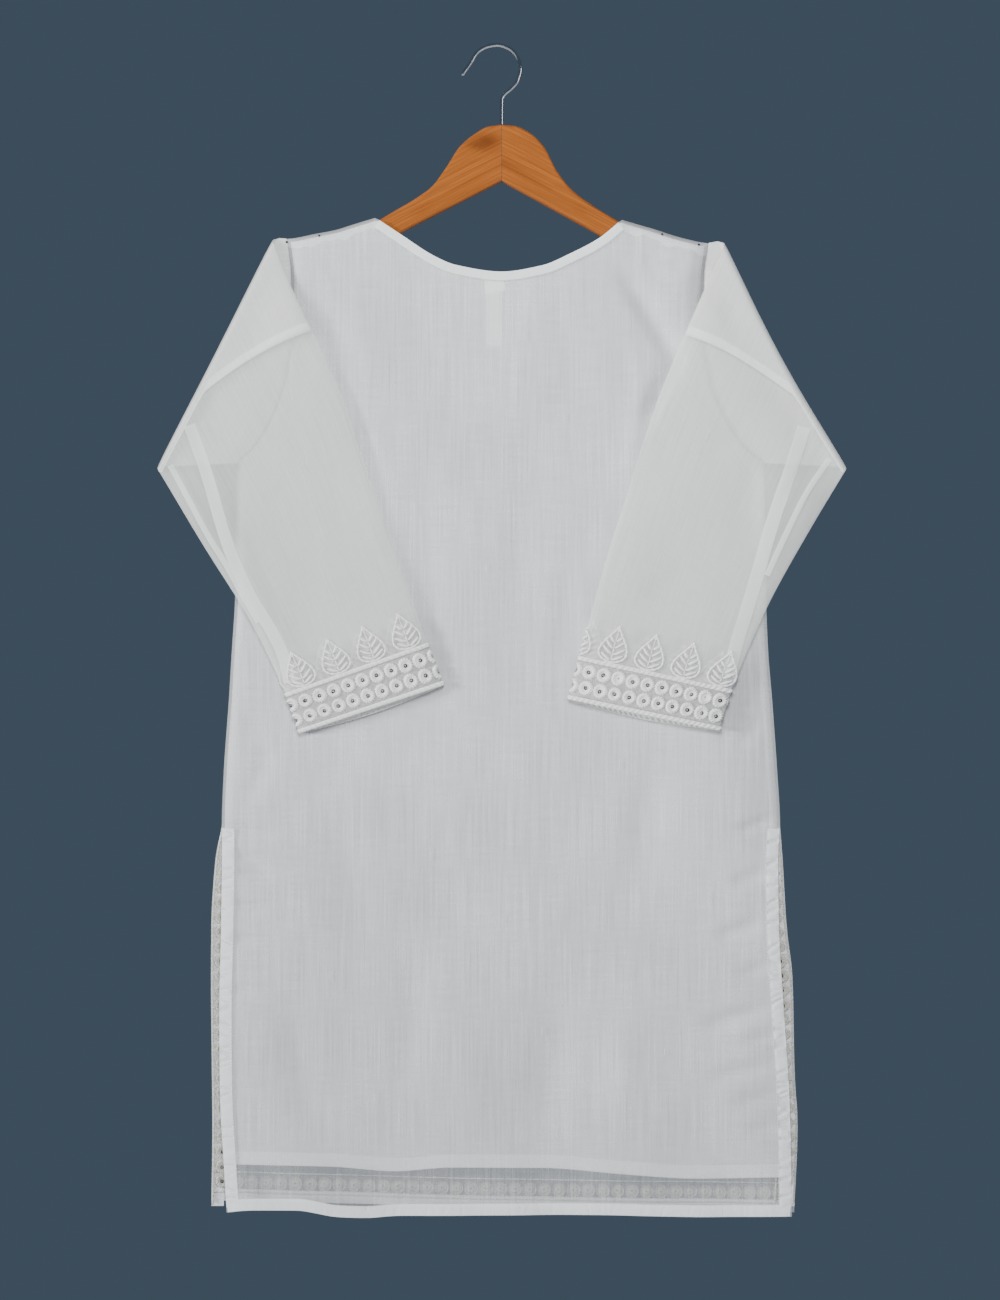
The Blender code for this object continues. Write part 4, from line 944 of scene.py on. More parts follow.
class Shader:
    """A node tree with a Principled shader, built up by small steps."""

    def __init__(self, name, colour, roughness, metallic=0.0, alpha=1.0, sheen=0.0, coat=0.0):
        self.material = bpy.data.materials.new(name)
        self.material.use_nodes = True
        self.tree = self.material.node_tree
        self.principled = self.tree.nodes["Principled BSDF"]
        looks = {"Base Color": (*colour, 1.0), "Roughness": roughness, "Metallic": metallic,
                 "Alpha": alpha, "Sheen Weight": sheen, "Coat Weight": coat}
        for name, value in looks.items():
            self.put(self.principled, name, value)

    def put(self, node, key, value):
        """Give an input, named or numbered, a link or a constant."""
        if isinstance(value, bpy.types.NodeSocket):
            self.tree.links.new(value, node.inputs[key])
        else:
            node.inputs[key].default_value = value

    def node(self, kind, settings=(), **inputs):
        made = self.tree.nodes.new(kind)
        for key, value in dict(settings).items():
            setattr(made, key, value)
        for name, value in inputs.items():
            self.put(made, name.replace("_", " "), value)
        return made

    def attribute(self, name, output="Vector"):
        return self.node("ShaderNodeAttribute", {"attribute_name": name}).outputs[output]

    def noise(self, vector, scale, detail=2.0, stretch=(1.0, 1.0, 1.0)):
        place = self.node("ShaderNodeMapping", Vector=vector, Scale=stretch).outputs["Vector"]
        made = self.node("ShaderNodeTexNoise", Vector=place, Scale=scale, Detail=detail)
        return made.outputs["Fac"]

    def ramp(self, value, low, high, from_low=0.0, from_high=1.0):
        made = self.node("ShaderNodeMapRange", Value=value, From_Min=from_low, From_Max=from_high,
                         To_Min=low, To_Max=high)
        return made.outputs["Result"]

    def math(self, operation, a, b):
        made = self.node("ShaderNodeMath", {"operation": operation})
        for index, value in enumerate((a, b)):
            self.put(made, index, value)
        return made.outputs["Value"]

    def total(self, *terms):
        """Sum of values, each given with its weight."""
        parts = [self.math("MULTIPLY", value, weight) for value, weight in terms]
        made = parts[0]
        for part in parts[1:]:
            made = self.math("ADD", made, part)
        return made

    def blend(self, factor, a, b):
        """Mix of two colours, whose inputs the node numbers 6 and 7."""
        made = self.node("ShaderNodeMix", {"data_type": "RGBA"})
        self.put(made, 0, factor)
        for index, value in ((6, a), (7, b)):
            linked = isinstance(value, bpy.types.NodeSocket)
            self.put(made, index, value if linked else (*value, 1.0))
        return made.outputs[2]

    def colour(self, value):
        self.put(self.principled, "Base Color", value)

    def bump(self, height, strength, distance):
        made = self.node("ShaderNodeBump", Height=height, Strength=strength, Distance=distance)
        self.put(self.principled, "Normal", made.outputs["Normal"])


def cloth_material(name, dark, light, band, alpha, slub=1.0, sheen=0.35, mottle=0.5):
    """Slubbed plain weave: thin uneven threads along the cloth, and denser bands at its edges."""
    shader = Shader(name, light, 0.82, alpha=alpha, sheen=sheen)
    cloth = shader.attribute("cloth")
    thin = shader.noise(cloth, 1.0, 1.0, (1150.0, 15.0, 1.0))
    thick = shader.noise(cloth, 1.0, 1.0, (430.0, 8.0, 1.0))
    cross = shader.noise(cloth, 1.0, 1.0, (30.0, 560.0, 1.0))
    broad = shader.noise(cloth, 1.0, 2.0, (11.0, 6.0, 1.0))
    threads = shader.total((thin, 0.5), (thick, 0.25), (cross, 0.25))
    tone = shader.ramp(threads, 0.5 - 0.5 * slub, 0.5 + 0.5 * slub, 0.32, 0.68)
    tone = shader.math("ADD", tone, shader.ramp(broad, -mottle / 2, mottle / 2, 0.3, 0.7))
    plain = shader.blend(tone, dark, light)
    inside = shader.ramp(shader.attribute("band", "Fac"), 1.0, 0.0, -0.0003, 0.0003)
    shader.colour(shader.blend(shader.math("MULTIPLY", inside, WHITE_BAND), plain, band))
    knots = shader.noise(cloth, 1.0, 0.0, (420.0, 70.0, 1.0))
    slubs = shader.ramp(knots, 0.0, 1.0, 0.72, 0.8)
    shader.bump(shader.total((threads, 1.0), (slubs, 0.8), (inside, 0.9)), 0.22, 0.0004)
    return shader.material


def thread_material(name, dark, light, metallic=0.0, roughness=0.6):
    """Shiny embroidery thread with fine strands."""
    shader = Shader(name, light, roughness, metallic, sheen=0.4)
    place = shader.node("ShaderNodeTexCoord").outputs["Object"]
    fine = shader.noise(place, 900.0, 3.0)
    shader.colour(shader.blend(shader.ramp(fine, 0.0, 1.0, 0.3, 0.7), dark, light))
    shader.bump(fine, 0.5, 0.0003)
    return shader.material


def net_material(name, alpha):
    """Fine even net: two crossing sets of threads."""
    shader = Shader(name, (0.7, 0.7, 0.68), 0.8, alpha=alpha, sheen=0.2)
    cloth = shader.attribute("cloth")
    across = shader.noise(cloth, 1.0, 0.0, (1500.0, 300.0, 1.0))
    down = shader.noise(cloth, 1.0, 0.0, (300.0, 1500.0, 1.0))
    threads = shader.math("MAXIMUM", across, down)
    tone = shader.ramp(threads, 0.0, 1.0, 0.4, 0.75)
    shader.colour(shader.blend(tone, (0.46, 0.46, 0.45), (0.8, 0.8, 0.78)))
    shader.bump(threads, 0.6, 0.0005)
    return shader.material


def wood_material(name):
    """Varnished wood with its grain along the arm, a darker knot and a few dark lines."""
    shader = Shader(name, (0.4, 0.15, 0.04), 0.55, coat=0.06)
    shader.put(shader.principled, "Specular IOR Level", 0.2)
    shader.put(shader.principled, "Coat Roughness", 0.3)
    grain = shader.attribute("grain")
    fine = shader.noise(grain, 1.0, 4.0, (26.0, 1000.0, 700.0))
    lines = shader.noise(grain, 1.0, 3.0, (9.0, 380.0, 150.0))
    pores = shader.noise(grain, 1.0, 2.0, (60.0, 1600.0, 1600.0))
    knot = shader.attribute("knot", "Fac")
    tone = shader.ramp(shader.total((fine, 0.5), (lines, 0.5)), 0.0, 1.0, 0.25, 0.75)
    plain = shader.blend(tone, (0.17, 0.047, 0.009), (0.39, 0.122, 0.024))
    plain = shader.blend(shader.ramp(pores, 0.4, 0.0, 0.3, 0.42), plain, (0.2, 0.06, 0.015))
    shader.colour(shader.blend(knot, plain, (0.1, 0.028, 0.008)))
    shader.bump(shader.math("ADD", tone, pores), 0.15, 0.0003)
    return shader.material


def chrome_material():
    shader = Shader("hook_chrome", (0.8, 0.8, 0.81), 0.13, 1.0)
    place = shader.node("ShaderNodeTexCoord").outputs["Object"]
    haze = shader.noise(place, 220.0, 3.0)
    shader.put(shader.principled, "Roughness", shader.ramp(haze, 0.07, 0.24, 0.3, 0.7))
    shader.colour(shader.blend(haze, (0.68, 0.68, 0.69), (0.88, 0.88, 0.89)))
    return shader.material


SHEER = cloth_material("sheer_cotton", (0.38, 0.39, 0.4), (0.72, 0.725, 0.735),
                       (0.86, 0.865, 0.865), SHEER_ALPHA)
SLEEVE_SHEER = cloth_material("sleeve_cotton", (0.74, 0.755, 0.735), (0.96, 0.97, 0.95),
                              (0.94, 0.945, 0.93), SLEEVE_ALPHA)
LINING = cloth_material("lining_cotton", (0.71, 0.715, 0.73), (0.86, 0.865, 0.875),
                        (0.97, 0.97, 0.975), 1.0, slub=0.95, mottle=0.2)
SLEEVE_LINING = cloth_material("sleeve_lining_cotton", (0.6, 0.61, 0.595), (0.76, 0.77, 0.755),
                               (0.97, 0.97, 0.97), 1.0, slub=0.8, mottle=0.3)
ALLOWANCE = cloth_material("allowance_cotton", (0.82, 0.83, 0.835), (0.93, 0.94, 0.945),
                           (0.93, 0.94, 0.95), 0.85, mottle=0.2)
SEAM = cloth_material("seam_cotton", (0.8, 0.81, 0.8), (0.93, 0.94, 0.92),
                      (0.94, 0.945, 0.93), 0.62, mottle=0.3)
THREAD = thread_material("embroidery_thread", (0.78, 0.78, 0.76), (0.97, 0.97, 0.95))
BORDER_THREAD = thread_material("border_thread", (0.36, 0.345, 0.3), (0.76, 0.745, 0.68))
PIPING = thread_material("piping_satin", (0.74, 0.74, 0.72), (0.93, 0.93, 0.91), roughness=0.5)
SEWING = thread_material("sewing_thread", (0.78, 0.78, 0.78), (0.94, 0.94, 0.94))
SEQUIN = thread_material("silver_sequin", (0.1, 0.1, 0.1), (0.5, 0.5, 0.5), 1.0, 0.16)
NET = net_material("cuff_net", 0.62)


def build_panels(back, front):
    for body, name, with_label in ((back, "back", True), (front, "front", False)):
        x, drop = body.grid(panel_columns(PANEL_STEP), panel_rows(PANEL_ROW_STEP))
        band = panel_band(body, x, drop, with_label)
        cloth_piece(name + "_cloth", body.outer(x, drop), thread_map(x, drop), band, body.facing,
                    SHEER, "body_cloth", [name + "_panel"])


def panel_band(body, x, drop, with_label):
    """Distance outside the nearest denser band of a panel, negative inside one."""
    inside = np.minimum(x - body.left(drop), body.right(drop) - x)
    slit = np.maximum(inside - SLIT_BAND, (SLIT_TOP_DROP + SLIT_BAND_START) - drop)
    side = np.maximum(inside - SIDE_BAND, (UNDERARM_DROP + SIDE_BAND_START) - drop)
    side = np.maximum(side, FAINT_SIDE_BAND)
    hem = np.maximum((body.hem(x) - drop) - HEM_BAND, FAINT_HEM_BAND)
    neck = neck_distance(body, x, drop) - FACING_WIDTH
    outside_neck = np.maximum(NECK_LEFT - x, x - NECK_RIGHT)
    wander = 1.6 * np.sin(x / 5.1) + 1.2 * np.sin(x / 2.3 + 1.0)
    shoulder = np.maximum(drop - ridge(x) - SHOULDER_BAND + wander, -outside_neck)
    band = np.minimum.reduce([slit, side, hem, neck, shoulder])
    return np.minimum(band, label_distance(x, drop)) if with_label else band


def label_distance(x, drop):
    """Distance outside the label, whose folded top shows strongest through the cloth."""
    middle = (LABEL_LEFT + LABEL_RIGHT) / 2
    half = (LABEL_RIGHT - LABEL_LEFT) / 2
    tall = (LABEL_BOTTOM - LABEL_TOP) / 2
    label = np.maximum(np.abs(x - middle) - half, np.abs(drop - (LABEL_TOP + tall)) - tall)
    top_strip = np.maximum(np.abs(x - middle) - half - 0.9, drop - LABEL_TOP - LABEL_FOLD)
    top_strip = np.maximum(top_strip, LABEL_TOP - 0.5 - drop)
    return np.minimum(np.maximum(label, 0.0), top_strip)


def build_lining(back):
    """Opaque lining under the back, from its neck facing to its own turned-up hem."""
    hem = line_through(LINING_HEM)
    x, drop = back.grid(panel_columns(LINING_STEP), panel_rows(LINING_ROW_STEP), hem,
                        LINING_EDGE_GAP, LINING_EDGE_GAP)
    band = np.minimum((hem(x) - drop) - LINING_HEM_BAND, label_distance(x, drop))
    cloth_piece("lining_cloth", back.outer(x, drop, -LINING_DEPTH), thread_map(x, drop), band, -1,
                LINING, "lining_cloth", ["lining_back"], CLOTH_WALL)


def build_facing(body, name):
    """Facing strip behind the neck edge, whole cloth as dense as a band."""
    shares = np.linspace(0.05, 0.95, 120)
    edge = body.neck_route(shares)
    across = square_to(body.neck_route(shares + 0.004) - body.neck_route(shares - 0.004))
    steps = np.linspace(0.0, FACING_WIDTH, 5)
    spots = edge[None] + across[None] * steps[:, None, None]
    x, drop = spots[..., 0], spots[..., 1]
    points = body.outer(x, drop, -FACING_DEPTH)
    cloth_piece(name + "_cloth", points, thread_map(x, drop), np.full(x.shape, -NO_BAND),
                body.facing, LINING, "lining_cloth", [name], FACING_WALL)


def build_label(back):
    """Blank tape label inside the back neck, its top folded over."""
    across = np.linspace(LABEL_LEFT, LABEL_RIGHT, 12)
    down = np.linspace(LABEL_TOP, LABEL_BOTTOM, 36)
    x, drop = np.meshgrid(across, down)
    wave = 0.25 * np.sin(drop / 7.0) - LABEL_DEPTH
    cloth_piece("label_tape", back.outer(x, drop, wave), thread_map(x, drop),
                drop - LABEL_TOP - LABEL_FOLD, -1, LINING, "label_cloth", ["label"], LABEL_WALL)


def sleeve_map(down, share, layer):
    """Thread coordinates of a sleeve: around it, and along it down to the cuff."""
    around = np.where(layer > 0, share, 2.0 - share) * SLEEVE_MAP_WIDTH
    shape = (len(down), len(share))
    return thread_map(np.broadcast_to(around, shape), np.broadcast_to(np.c_[down], shape))


def build_sleeve(folded):
    """Sheer sleeve from the armhole, round the fold and down the flap."""
    share, layer = tube_columns(34)
    rows, down = [], []
    for at in np.arange(STUB_STEPS) / STUB_STEPS:
        rows.append(folded.stub(at, share, layer, 0.0))
        down.append(-STUB_LENGTH * (1.0 - at))
    for at in np.arange(BEND_STEPS + 1) / BEND_STEPS:
        rows.append(folded.bend(at, share, layer, 0.0))
        down.append(at * BEND_LENGTH)
    end = 1.0 - (PIPING_WIDTH / 2 + SEAM_GAP) / folded.length
    unbend = np.linspace(0.0, UNBEND_SHARE, 10)[1:-1]
    for at in np.concatenate([unbend, np.linspace(UNBEND_SHARE, end, 92)]):
        rows.append(folded.flap(at, share, layer, 0.0))
        down.append(BEND_LENGTH + at * folded.length)
    points = np.stack(rows)
    cloth_piece("sleeve_%s_cloth" % folded.sleeve.name, points, sleeve_map(down, share, layer),
                np.full(points.shape[:2], NO_BAND), 0, SLEEVE_SHEER, "sleeve_cloth",
                ["sleeve_" + folded.sleeve.name])


def build_lining_sleeve(folded):
    """Short lining sleeve inside the sleeve, with a turned-up hem that slants across the flap."""
    share, layer = tube_columns(24)
    rows, from_hem = [], []
    for step in range(4):
        rows.append(folded.stub(0.04 + 0.24 * step, share, layer, -LINING_SLEEVE_DEPTH))
        from_hem.append(np.full(share.shape, FAR_FROM_HEM))
    for step in range(9):
        rows.append(folded.bend(step / 8, share, layer, -LINING_SLEEVE_DEPTH))
        from_hem.append(np.full(share.shape, FAR_FROM_HEM))
    reach = LINING_SLEEVE_END * np.maximum(0.03, 1.0 - share / LINING_SLEEVE_FOLD_SHARE)
    for part in np.linspace(0.06, 1.0, 16):
        rows.append(folded.flap(reach * part, share, layer, -LINING_SLEEVE_DEPTH))
        from_hem.append(reach * (1.0 - part) * folded.length)
    cloth = sleeve_map(np.arange(len(rows)) * 5.0, share, layer)
    cloth_piece("lining_sleeve_%s_cloth" % folded.sleeve.name, np.stack(rows), cloth,
                np.stack(from_hem) - LINING_SLEEVE_BAND, 0, SLEEVE_LINING, "lining_cloth",
                ["lining_sleeve_" + folded.sleeve.name], LINING_SLEEVE_WALL)


def build_cuff(folded):
    """Open net band between the pipings."""
    share, layer = tube_columns(30)
    half = PIPING_WIDTH / 2
    depths = np.linspace(half + SEAM_GAP, CUFF_HEIGHT - half - SEAM_GAP, 16)
    points = np.stack([folded.flap(1.0, share, layer, 0.0, beyond) for beyond in depths])
    cloth_piece("cuff_net_" + folded.sleeve.name, points, sleeve_map(depths, share, layer),
                np.full(points.shape[:2], NO_BAND), 0, NET, "cuff_net",
                ["cuff_band_" + folded.sleeve.name])


def build_piping(folded, which, centre):
    """Rope-like satin piping round the cuff."""
    share, layer = tube_columns(240)
    around = np.where(layer > 0, share, 2.0 - share) * folded.width
    rows = []
    for angle in np.linspace(0.0, math.pi, 9):
        twist = 0.42 * np.sin(around * 2 * math.pi / 5.0 + angle * 2.2 + np.sin(around / 9.0))
        lift = (PIPING_BULGE + 0.1 + twist) * math.sin(angle) + 0.05
        beyond = centre - math.cos(angle) * PIPING_WIDTH / 2
        rows.append(folded.flap(1.0, share, layer, lift, beyond))
    name = "piping_%s_%s" % (which, folded.sleeve.name)
    item = grid_object(name + "_cord", np.stack(rows), 0)
    finish_piece(item, PIPING, "piping_cloth", [name])
    add_wall(item, PIPING_WALL)


def stitch_row(relief, surface, line, up, radius=STITCH_RADIUS):
    """Row of short straight stitches along a line of (x, drop) on a surface."""
    lengths = distances(line)
    starts = np.arange(0.0, lengths[-1] - STITCH_PITCH, STITCH_PITCH)
    reach = starts[:, None] + np.array([0.0, 0.33, 0.66]) * STITCH_PITCH
    x = np.interp(reach, lengths, line[:, 0])
    drop = np.interp(reach, lengths, line[:, 1])
    centres = surface(x, drop, np.array([0.0, 0.28, 0.0]) + np.zeros_like(x))
    relief.strands(centres, np.array([0.1, radius, 0.1]), up)


def side_line(body, sign, inset, start, end, step=2.0):
    """Line of (x, drop) that follows a side edge at a distance inside it."""
    drop = np.arange(start, end, step)
    x = body.left(drop) + inset if sign < 0 else body.right(drop) - inset
    return np.stack([x, drop], -1)


def hem_line(body, above, low, high):
    x = np.arange(low, high, 2.0)
    return np.stack([x, body.hem(x) - above], -1)


def neck_line(body, below):
    spots = body.neck_route(np.linspace(0.02, 0.98, 200))
    return spots + square_to(np.gradient(spots, axis=0)) * below


def build_stitching(back, front):
    """Machine stitching beside the neck, along the hems and down the slits."""
    for body, name in ((back, "back"), (front, "front")):
        up = (0.0, body.facing, 0.0)
        relief = Relief()
        stitch_row(relief, body.outer, neck_line(body, FACING_WIDTH + 0.4), up)
        low, high = body.left(HEM_DROP) + 3.0, body.right(HEM_DROP) - 3.0
        stitch_row(relief, body.outer, hem_line(body, HEM_BAND, low, high), up)
        for sign in (-1, 1):
            line = side_line(body, sign, SLIT_BAND, SLIT_TOP_DROP + 8.0, HEM_DROP - 8.0)
            stitch_row(relief, body.outer, line, up, SLIT_STITCH_RADIUS)
        relief.piece("stitching_" + name, SEWING, "body_cloth")


def build_flecks(back, sleeves):
    """Thick white spots where single threads of the weave swell."""
    relief = Relief()
    rows = [(back.outer, fleck) for fleck in FLECKS]
    for folded, sign in sleeves:
        rows += [(folded.on_flap, fleck) for fleck in FLAP_FLECKS if fleck[0] * sign > 0]
    for surface, (x, drop, length, slope) in rows:
        t = np.linspace(0.0, 1.0, 7)
        centres = surface(x + slope * length * t, drop + length * t, np.full(7, 0.05))
        relief.strands(centres[None], 0.04 + 0.2 * np.sin(math.pi * t) ** 0.7)
    relief.piece("slub_flecks", SEWING, "body_cloth")


def add_disc(relief, sequins, surface, a, b, up, raised=1.0):
    """Round motif of radiating stitches with a sequin sewn at its centre."""
    steps = DISC_PETALS * 3
    turn = turns(steps) + RANDOM.uniform(0.0, 0.2)
    size = RANDOM.uniform(0.95, 1.03)
    groove = np.array([0.45, 0.45, -1.0] * DISC_PETALS)
    rings = []
    for radius, lift in DISC_RINGS:
        reach = radius * size + (0.35 * groove if radius > 5.0 else 0.0)
        height = raised * lift * (1.0 + (0.7 * groove if radius > 2.5 else 0.0)) + np.zeros(steps)
        rings.append(surface(a + reach * np.cos(turn), b + reach * np.sin(turn), height))
    relief.dome(np.stack(rings), up)
    if RANDOM.random() < LOST_SEQUINS:
        return
    turn = turns(14)
    lean, side = RANDOM.uniform(0.0, 0.3), RANDOM.uniform(0.0, 2 * math.pi)
    a, b = a + RANDOM.uniform(-0.4, 0.4), b + RANDOM.uniform(-0.4, 0.4)
    rings = []
    for radius, lift in SEQUIN_RINGS:
        height = lift + 0.1 + lean * radius * np.cos(turn - side)
        rings.append(surface(a + radius * np.cos(turn), b + radius * np.sin(turn), height))
    sequins.dome(np.stack(rings), up)


def leaf_outline(turn):
    """Teardrop outline: place across and height as shares, with the tip at a turn of 0."""
    across = np.sin(turn) * np.abs(np.sin(turn / 2)) ** 1.8 / 0.68
    return across * 0.5, (1.0 + np.cos(turn)) / 2.0


def add_leaf(relief, surface, around, up):
    """Leaf of raised thread: a beaded outline, a solid tip, a midrib and curved veins."""
    def cord(a, h, radius, lift):
        a = np.asarray(a) * LEAF_WIDTH + around
        h = np.asarray(h) * LEAF_HEIGHT + LEAF_FOOT
        centres = surface(a, h, lift + np.zeros_like(a))
        relief.strands(centres[None], radius, up, 6)

    turn = np.linspace(0.0, 2 * math.pi, 64)
    across, height = leaf_outline(turn)
    beads = 0.95 + 0.3 * np.sin(np.arange(64) * 2.1)
    cord(across, height, beads, 0.6)
    cord([0.0, 0.012, -0.012, 0.0], [0.84, 0.9, 0.94, 1.0], 0.9, 0.6)
    rib = np.linspace(0.0, 1.0, 16)
    cord(0.008 * np.sin(rib * 9.0), 0.05 + rib * 0.85, 0.62 - 0.3 * rib, 0.5)
    t = np.linspace(0.0, 1.0, 9)
    for low, high in LEAF_VEINS:
        reach = 0.82 * leaf_outline(np.arccos(2 * (0.35 * low + 0.65 * high) - 1))[0]
        for side in (-1, 1):
            out = side * (0.03 + (reach - 0.03) * t)
            rise = low + (high - low) * t ** 1.3 + RANDOM.uniform(-0.015, 0.015)
            swell = RANDOM.uniform(0.8, 1.1) * np.sin(math.pi * (0.12 + 0.8 * t))
            cord(out, rise, 0.35 + swell, 0.8)


def build_cuff_work(folded, side):
    """Discs and sequins round the net band, and leaves above it."""
    discs, sequins, leaves = Relief(), Relief(), Relief()
    total = 2 * folded.width
    count = round(total / DISC_PITCH)

    def up_at(around):
        return 0.0, -1.0 if (around / folded.width) % 2 < 1 else 1.0, 0.0

    for row, below in enumerate(DISC_ROWS):
        for i in range(count):
            around = DISC_START + 0.5 * row + i * total / count
            add_disc(discs, sequins, folded.surface, around, -below, up_at(around))
    for i in range(LEAVES):
        around = (LEAF_START_LEFT if side < 0 else LEAF_START_RIGHT) + i * LEAF_PITCH
        add_leaf(leaves, folded.surface, around, up_at(around))
    name = folded.sleeve.name
    discs.piece("cuff_discs_" + name, THREAD, "cuff_net")
    sequins.piece("cuff_sequins_" + name, SEQUIN, "cuff_net")
    leaves.piece("sleeve_leaves_" + name, THREAD, "sleeve_cloth")


def build_border(front):
    """Embroidered border along the front's slit edges and hem, with its rough reverse inside."""
    discs, sequins, cords = Relief(), Relief(), Relief()
    start, end = SLIT_TOP_DROP + 20.0, HEM_DROP - 22.0

    def reverse(x, drop, lift):
        return front.outer(x, drop, -CLOTH_WALL - np.asarray(lift))

    for sign in (-1, 1):
        line = side_line(front, sign, SLIT_BORDER_ROW, start, end, DISC_PITCH)
        for x, drop in line:
            add_disc(discs, sequins, front.outer, x, drop, OUT_OF_FRONT)
            add_disc(discs, sequins, reverse, x, drop, OUT_OF_BACK, 0.6)
    x = front.left(HEM_DROP) + SLIT_BORDER_ROW
    while x < front.right(HEM_DROP) - SLIT_BORDER_ROW + 3.0:
        drop = float(front.hem(x)) - BORDER_ROW
        add_disc(discs, sequins, front.outer, x, drop, OUT_OF_FRONT)
        x += DISC_PITCH
    lines = [hem_line(front, above, front.left(HEM_DROP) + 2.0, front.right(HEM_DROP) - 2.0)
             for above in BORDER_CORDS]
    for sign in (-1, 1):
        lines += [side_line(front, sign, inset, SLIT_TOP_DROP + 12.0, HEM_DROP - 8.0, 1.3)
                  for inset in SLIT_BORDER_CORDS]
    for number, line in enumerate(lines):
        step = np.arange(len(line))
        rough = 0.8 + 0.25 * np.sin(step * 1.9) + 0.12 * np.sin(step * 0.7)
        rough = rough * (0.5 if number < len(BORDER_CORDS) else 1.0)
        for surface, up in ((front.outer, OUT_OF_FRONT), (reverse, OUT_OF_BACK)):
            centres = surface(line[:, 0], line[:, 1], np.full(len(line), 0.25))
            cords.strands(centres[None], rough, up, 5)
    discs.piece("border_discs", BORDER_THREAD, "body_cloth")
    cords.piece("border_cords", BORDER_THREAD, "body_cloth")
    turn = turns(12)
    for x in SHOULDER_SEQUINS:
        drop = float(ridge(x)) + 3.0
        rings = [front.outer(x + r * np.cos(turn), drop + r * np.sin(turn), 0.5 + 0.2 * r)
                 for r in (0.2, 0.7, 1.1)]
        sequins.dome(np.stack(rings) * (1.0, -1.0, 1.0), OUT_OF_BACK)
    sequins.piece("border_sequins", SEQUIN, "body_cloth")


def wrinkles(reach, aside, length, depth):
    """Narrow puckers across a band, uneven in place, depth and slant."""
    total = np.zeros(reach.shape)
    at = RANDOM.uniform(1.0, 6.0)
    while at < length:
        slant, width = RANDOM.uniform(-0.5, 0.5), RANDOM.uniform(1.0, 2.8)
        low = depth * RANDOM.choice((0.35, 0.6, 1.0, 1.3))
        total -= low * np.exp(-((reach - at - slant * aside) / width) ** 2)
        at += RANDOM.uniform(2.5, 11.0)
    return total


def build_ribbon(name, surface, line, half_width, slot, facing=-1, depth=0.0, material=SEAM):
    """Flat band of doubled cloth along a line on a surface, puckered by its stitching."""
    place = route(line)
    step = PUCKERED_STEP if depth else PLAIN_STEP
    reach = np.linspace(0.0, place.length, max(3, round(place.length / step)))
    centre = place(reach / place.length)
    across = square_to(np.gradient(centre, axis=0))
    offsets = np.linspace(-half_width, half_width, 8)
    spots = centre[None] + across[None] * offsets[:, None, None]
    edge = 1.0 - (np.abs(offsets) / half_width)[:, None] ** 6
    x, drop = spots[..., 0], spots[..., 1]
    shape = wrinkles(reach[None] + np.zeros_like(x), offsets[:, None], place.length, depth)
    points = surface(x, drop, RIBBON_LIFT + (0.12 + 0.3 * depth) * edge + shape * edge)
    band = np.full(x.shape, -NO_BAND)
    cloth_piece(name, points, thread_map(x, drop), band, facing, material, slot, ())


def points_of(line, every):
    return [Point(*spot) for spot in np.concatenate([line[:-1:every], line[-1:]])]


def build_bands(back, front):
    """Turned-in neck edge, hem and slit edges of both panels."""
    for body, name in ((back, "back"), (front, "front")):
        def add(piece, line, half_width, depth):
            build_ribbon(piece, body.outer, line, half_width, "body_cloth", body.facing, depth,
                         ALLOWANCE)

        neck = points_of(neck_line(body, FACING_WIDTH / 2), 6)
        add("neck_edge_" + name, neck, FACING_WIDTH / 2 - 0.2, 0.12)
        low, high = body.left(HEM_DROP) + 0.6, body.right(HEM_DROP) - 0.6
        hem = points_of(hem_line(body, HEM_BAND / 2, low, high), 8)
        add("hem_band_" + name, hem, HEM_BAND / 2 - 0.3, 0.16)
        for sign, side, depth in ((-1, "left", 0.6), (1, "right", 1.0)):
            line = side_line(body, sign, SLIT_BAND / 2, SLIT_TOP_DROP + SLIT_BAND_START,
                             HEM_DROP - 6.0)
            slit = "slit_band_%s_%s" % (name, side)
            add(slit, points_of(line, 8), SLIT_BAND / 2 - 0.3, depth)


def dark_wood(x, z, sign):
    """Strength of the left arm's knot and the streak below it, or of the right arm's streak."""
    if sign > 0:
        return 0.45 * np.exp(-((z + 104.0 + 0.5 * x) / 3.5) ** 2) * smooth(1.0 - x / 62.0)
    knot = 0.8 * np.exp(-((x + 13.0) / 13.0) ** 2 - ((z + 86.0) / 7.0) ** 2)
    streak = 0.35 * np.exp(-((x + 24.0) / 12.0) ** 2 - ((z + 97.0 + 0.3 * x) / 3.0) ** 2)
    return knot + streak


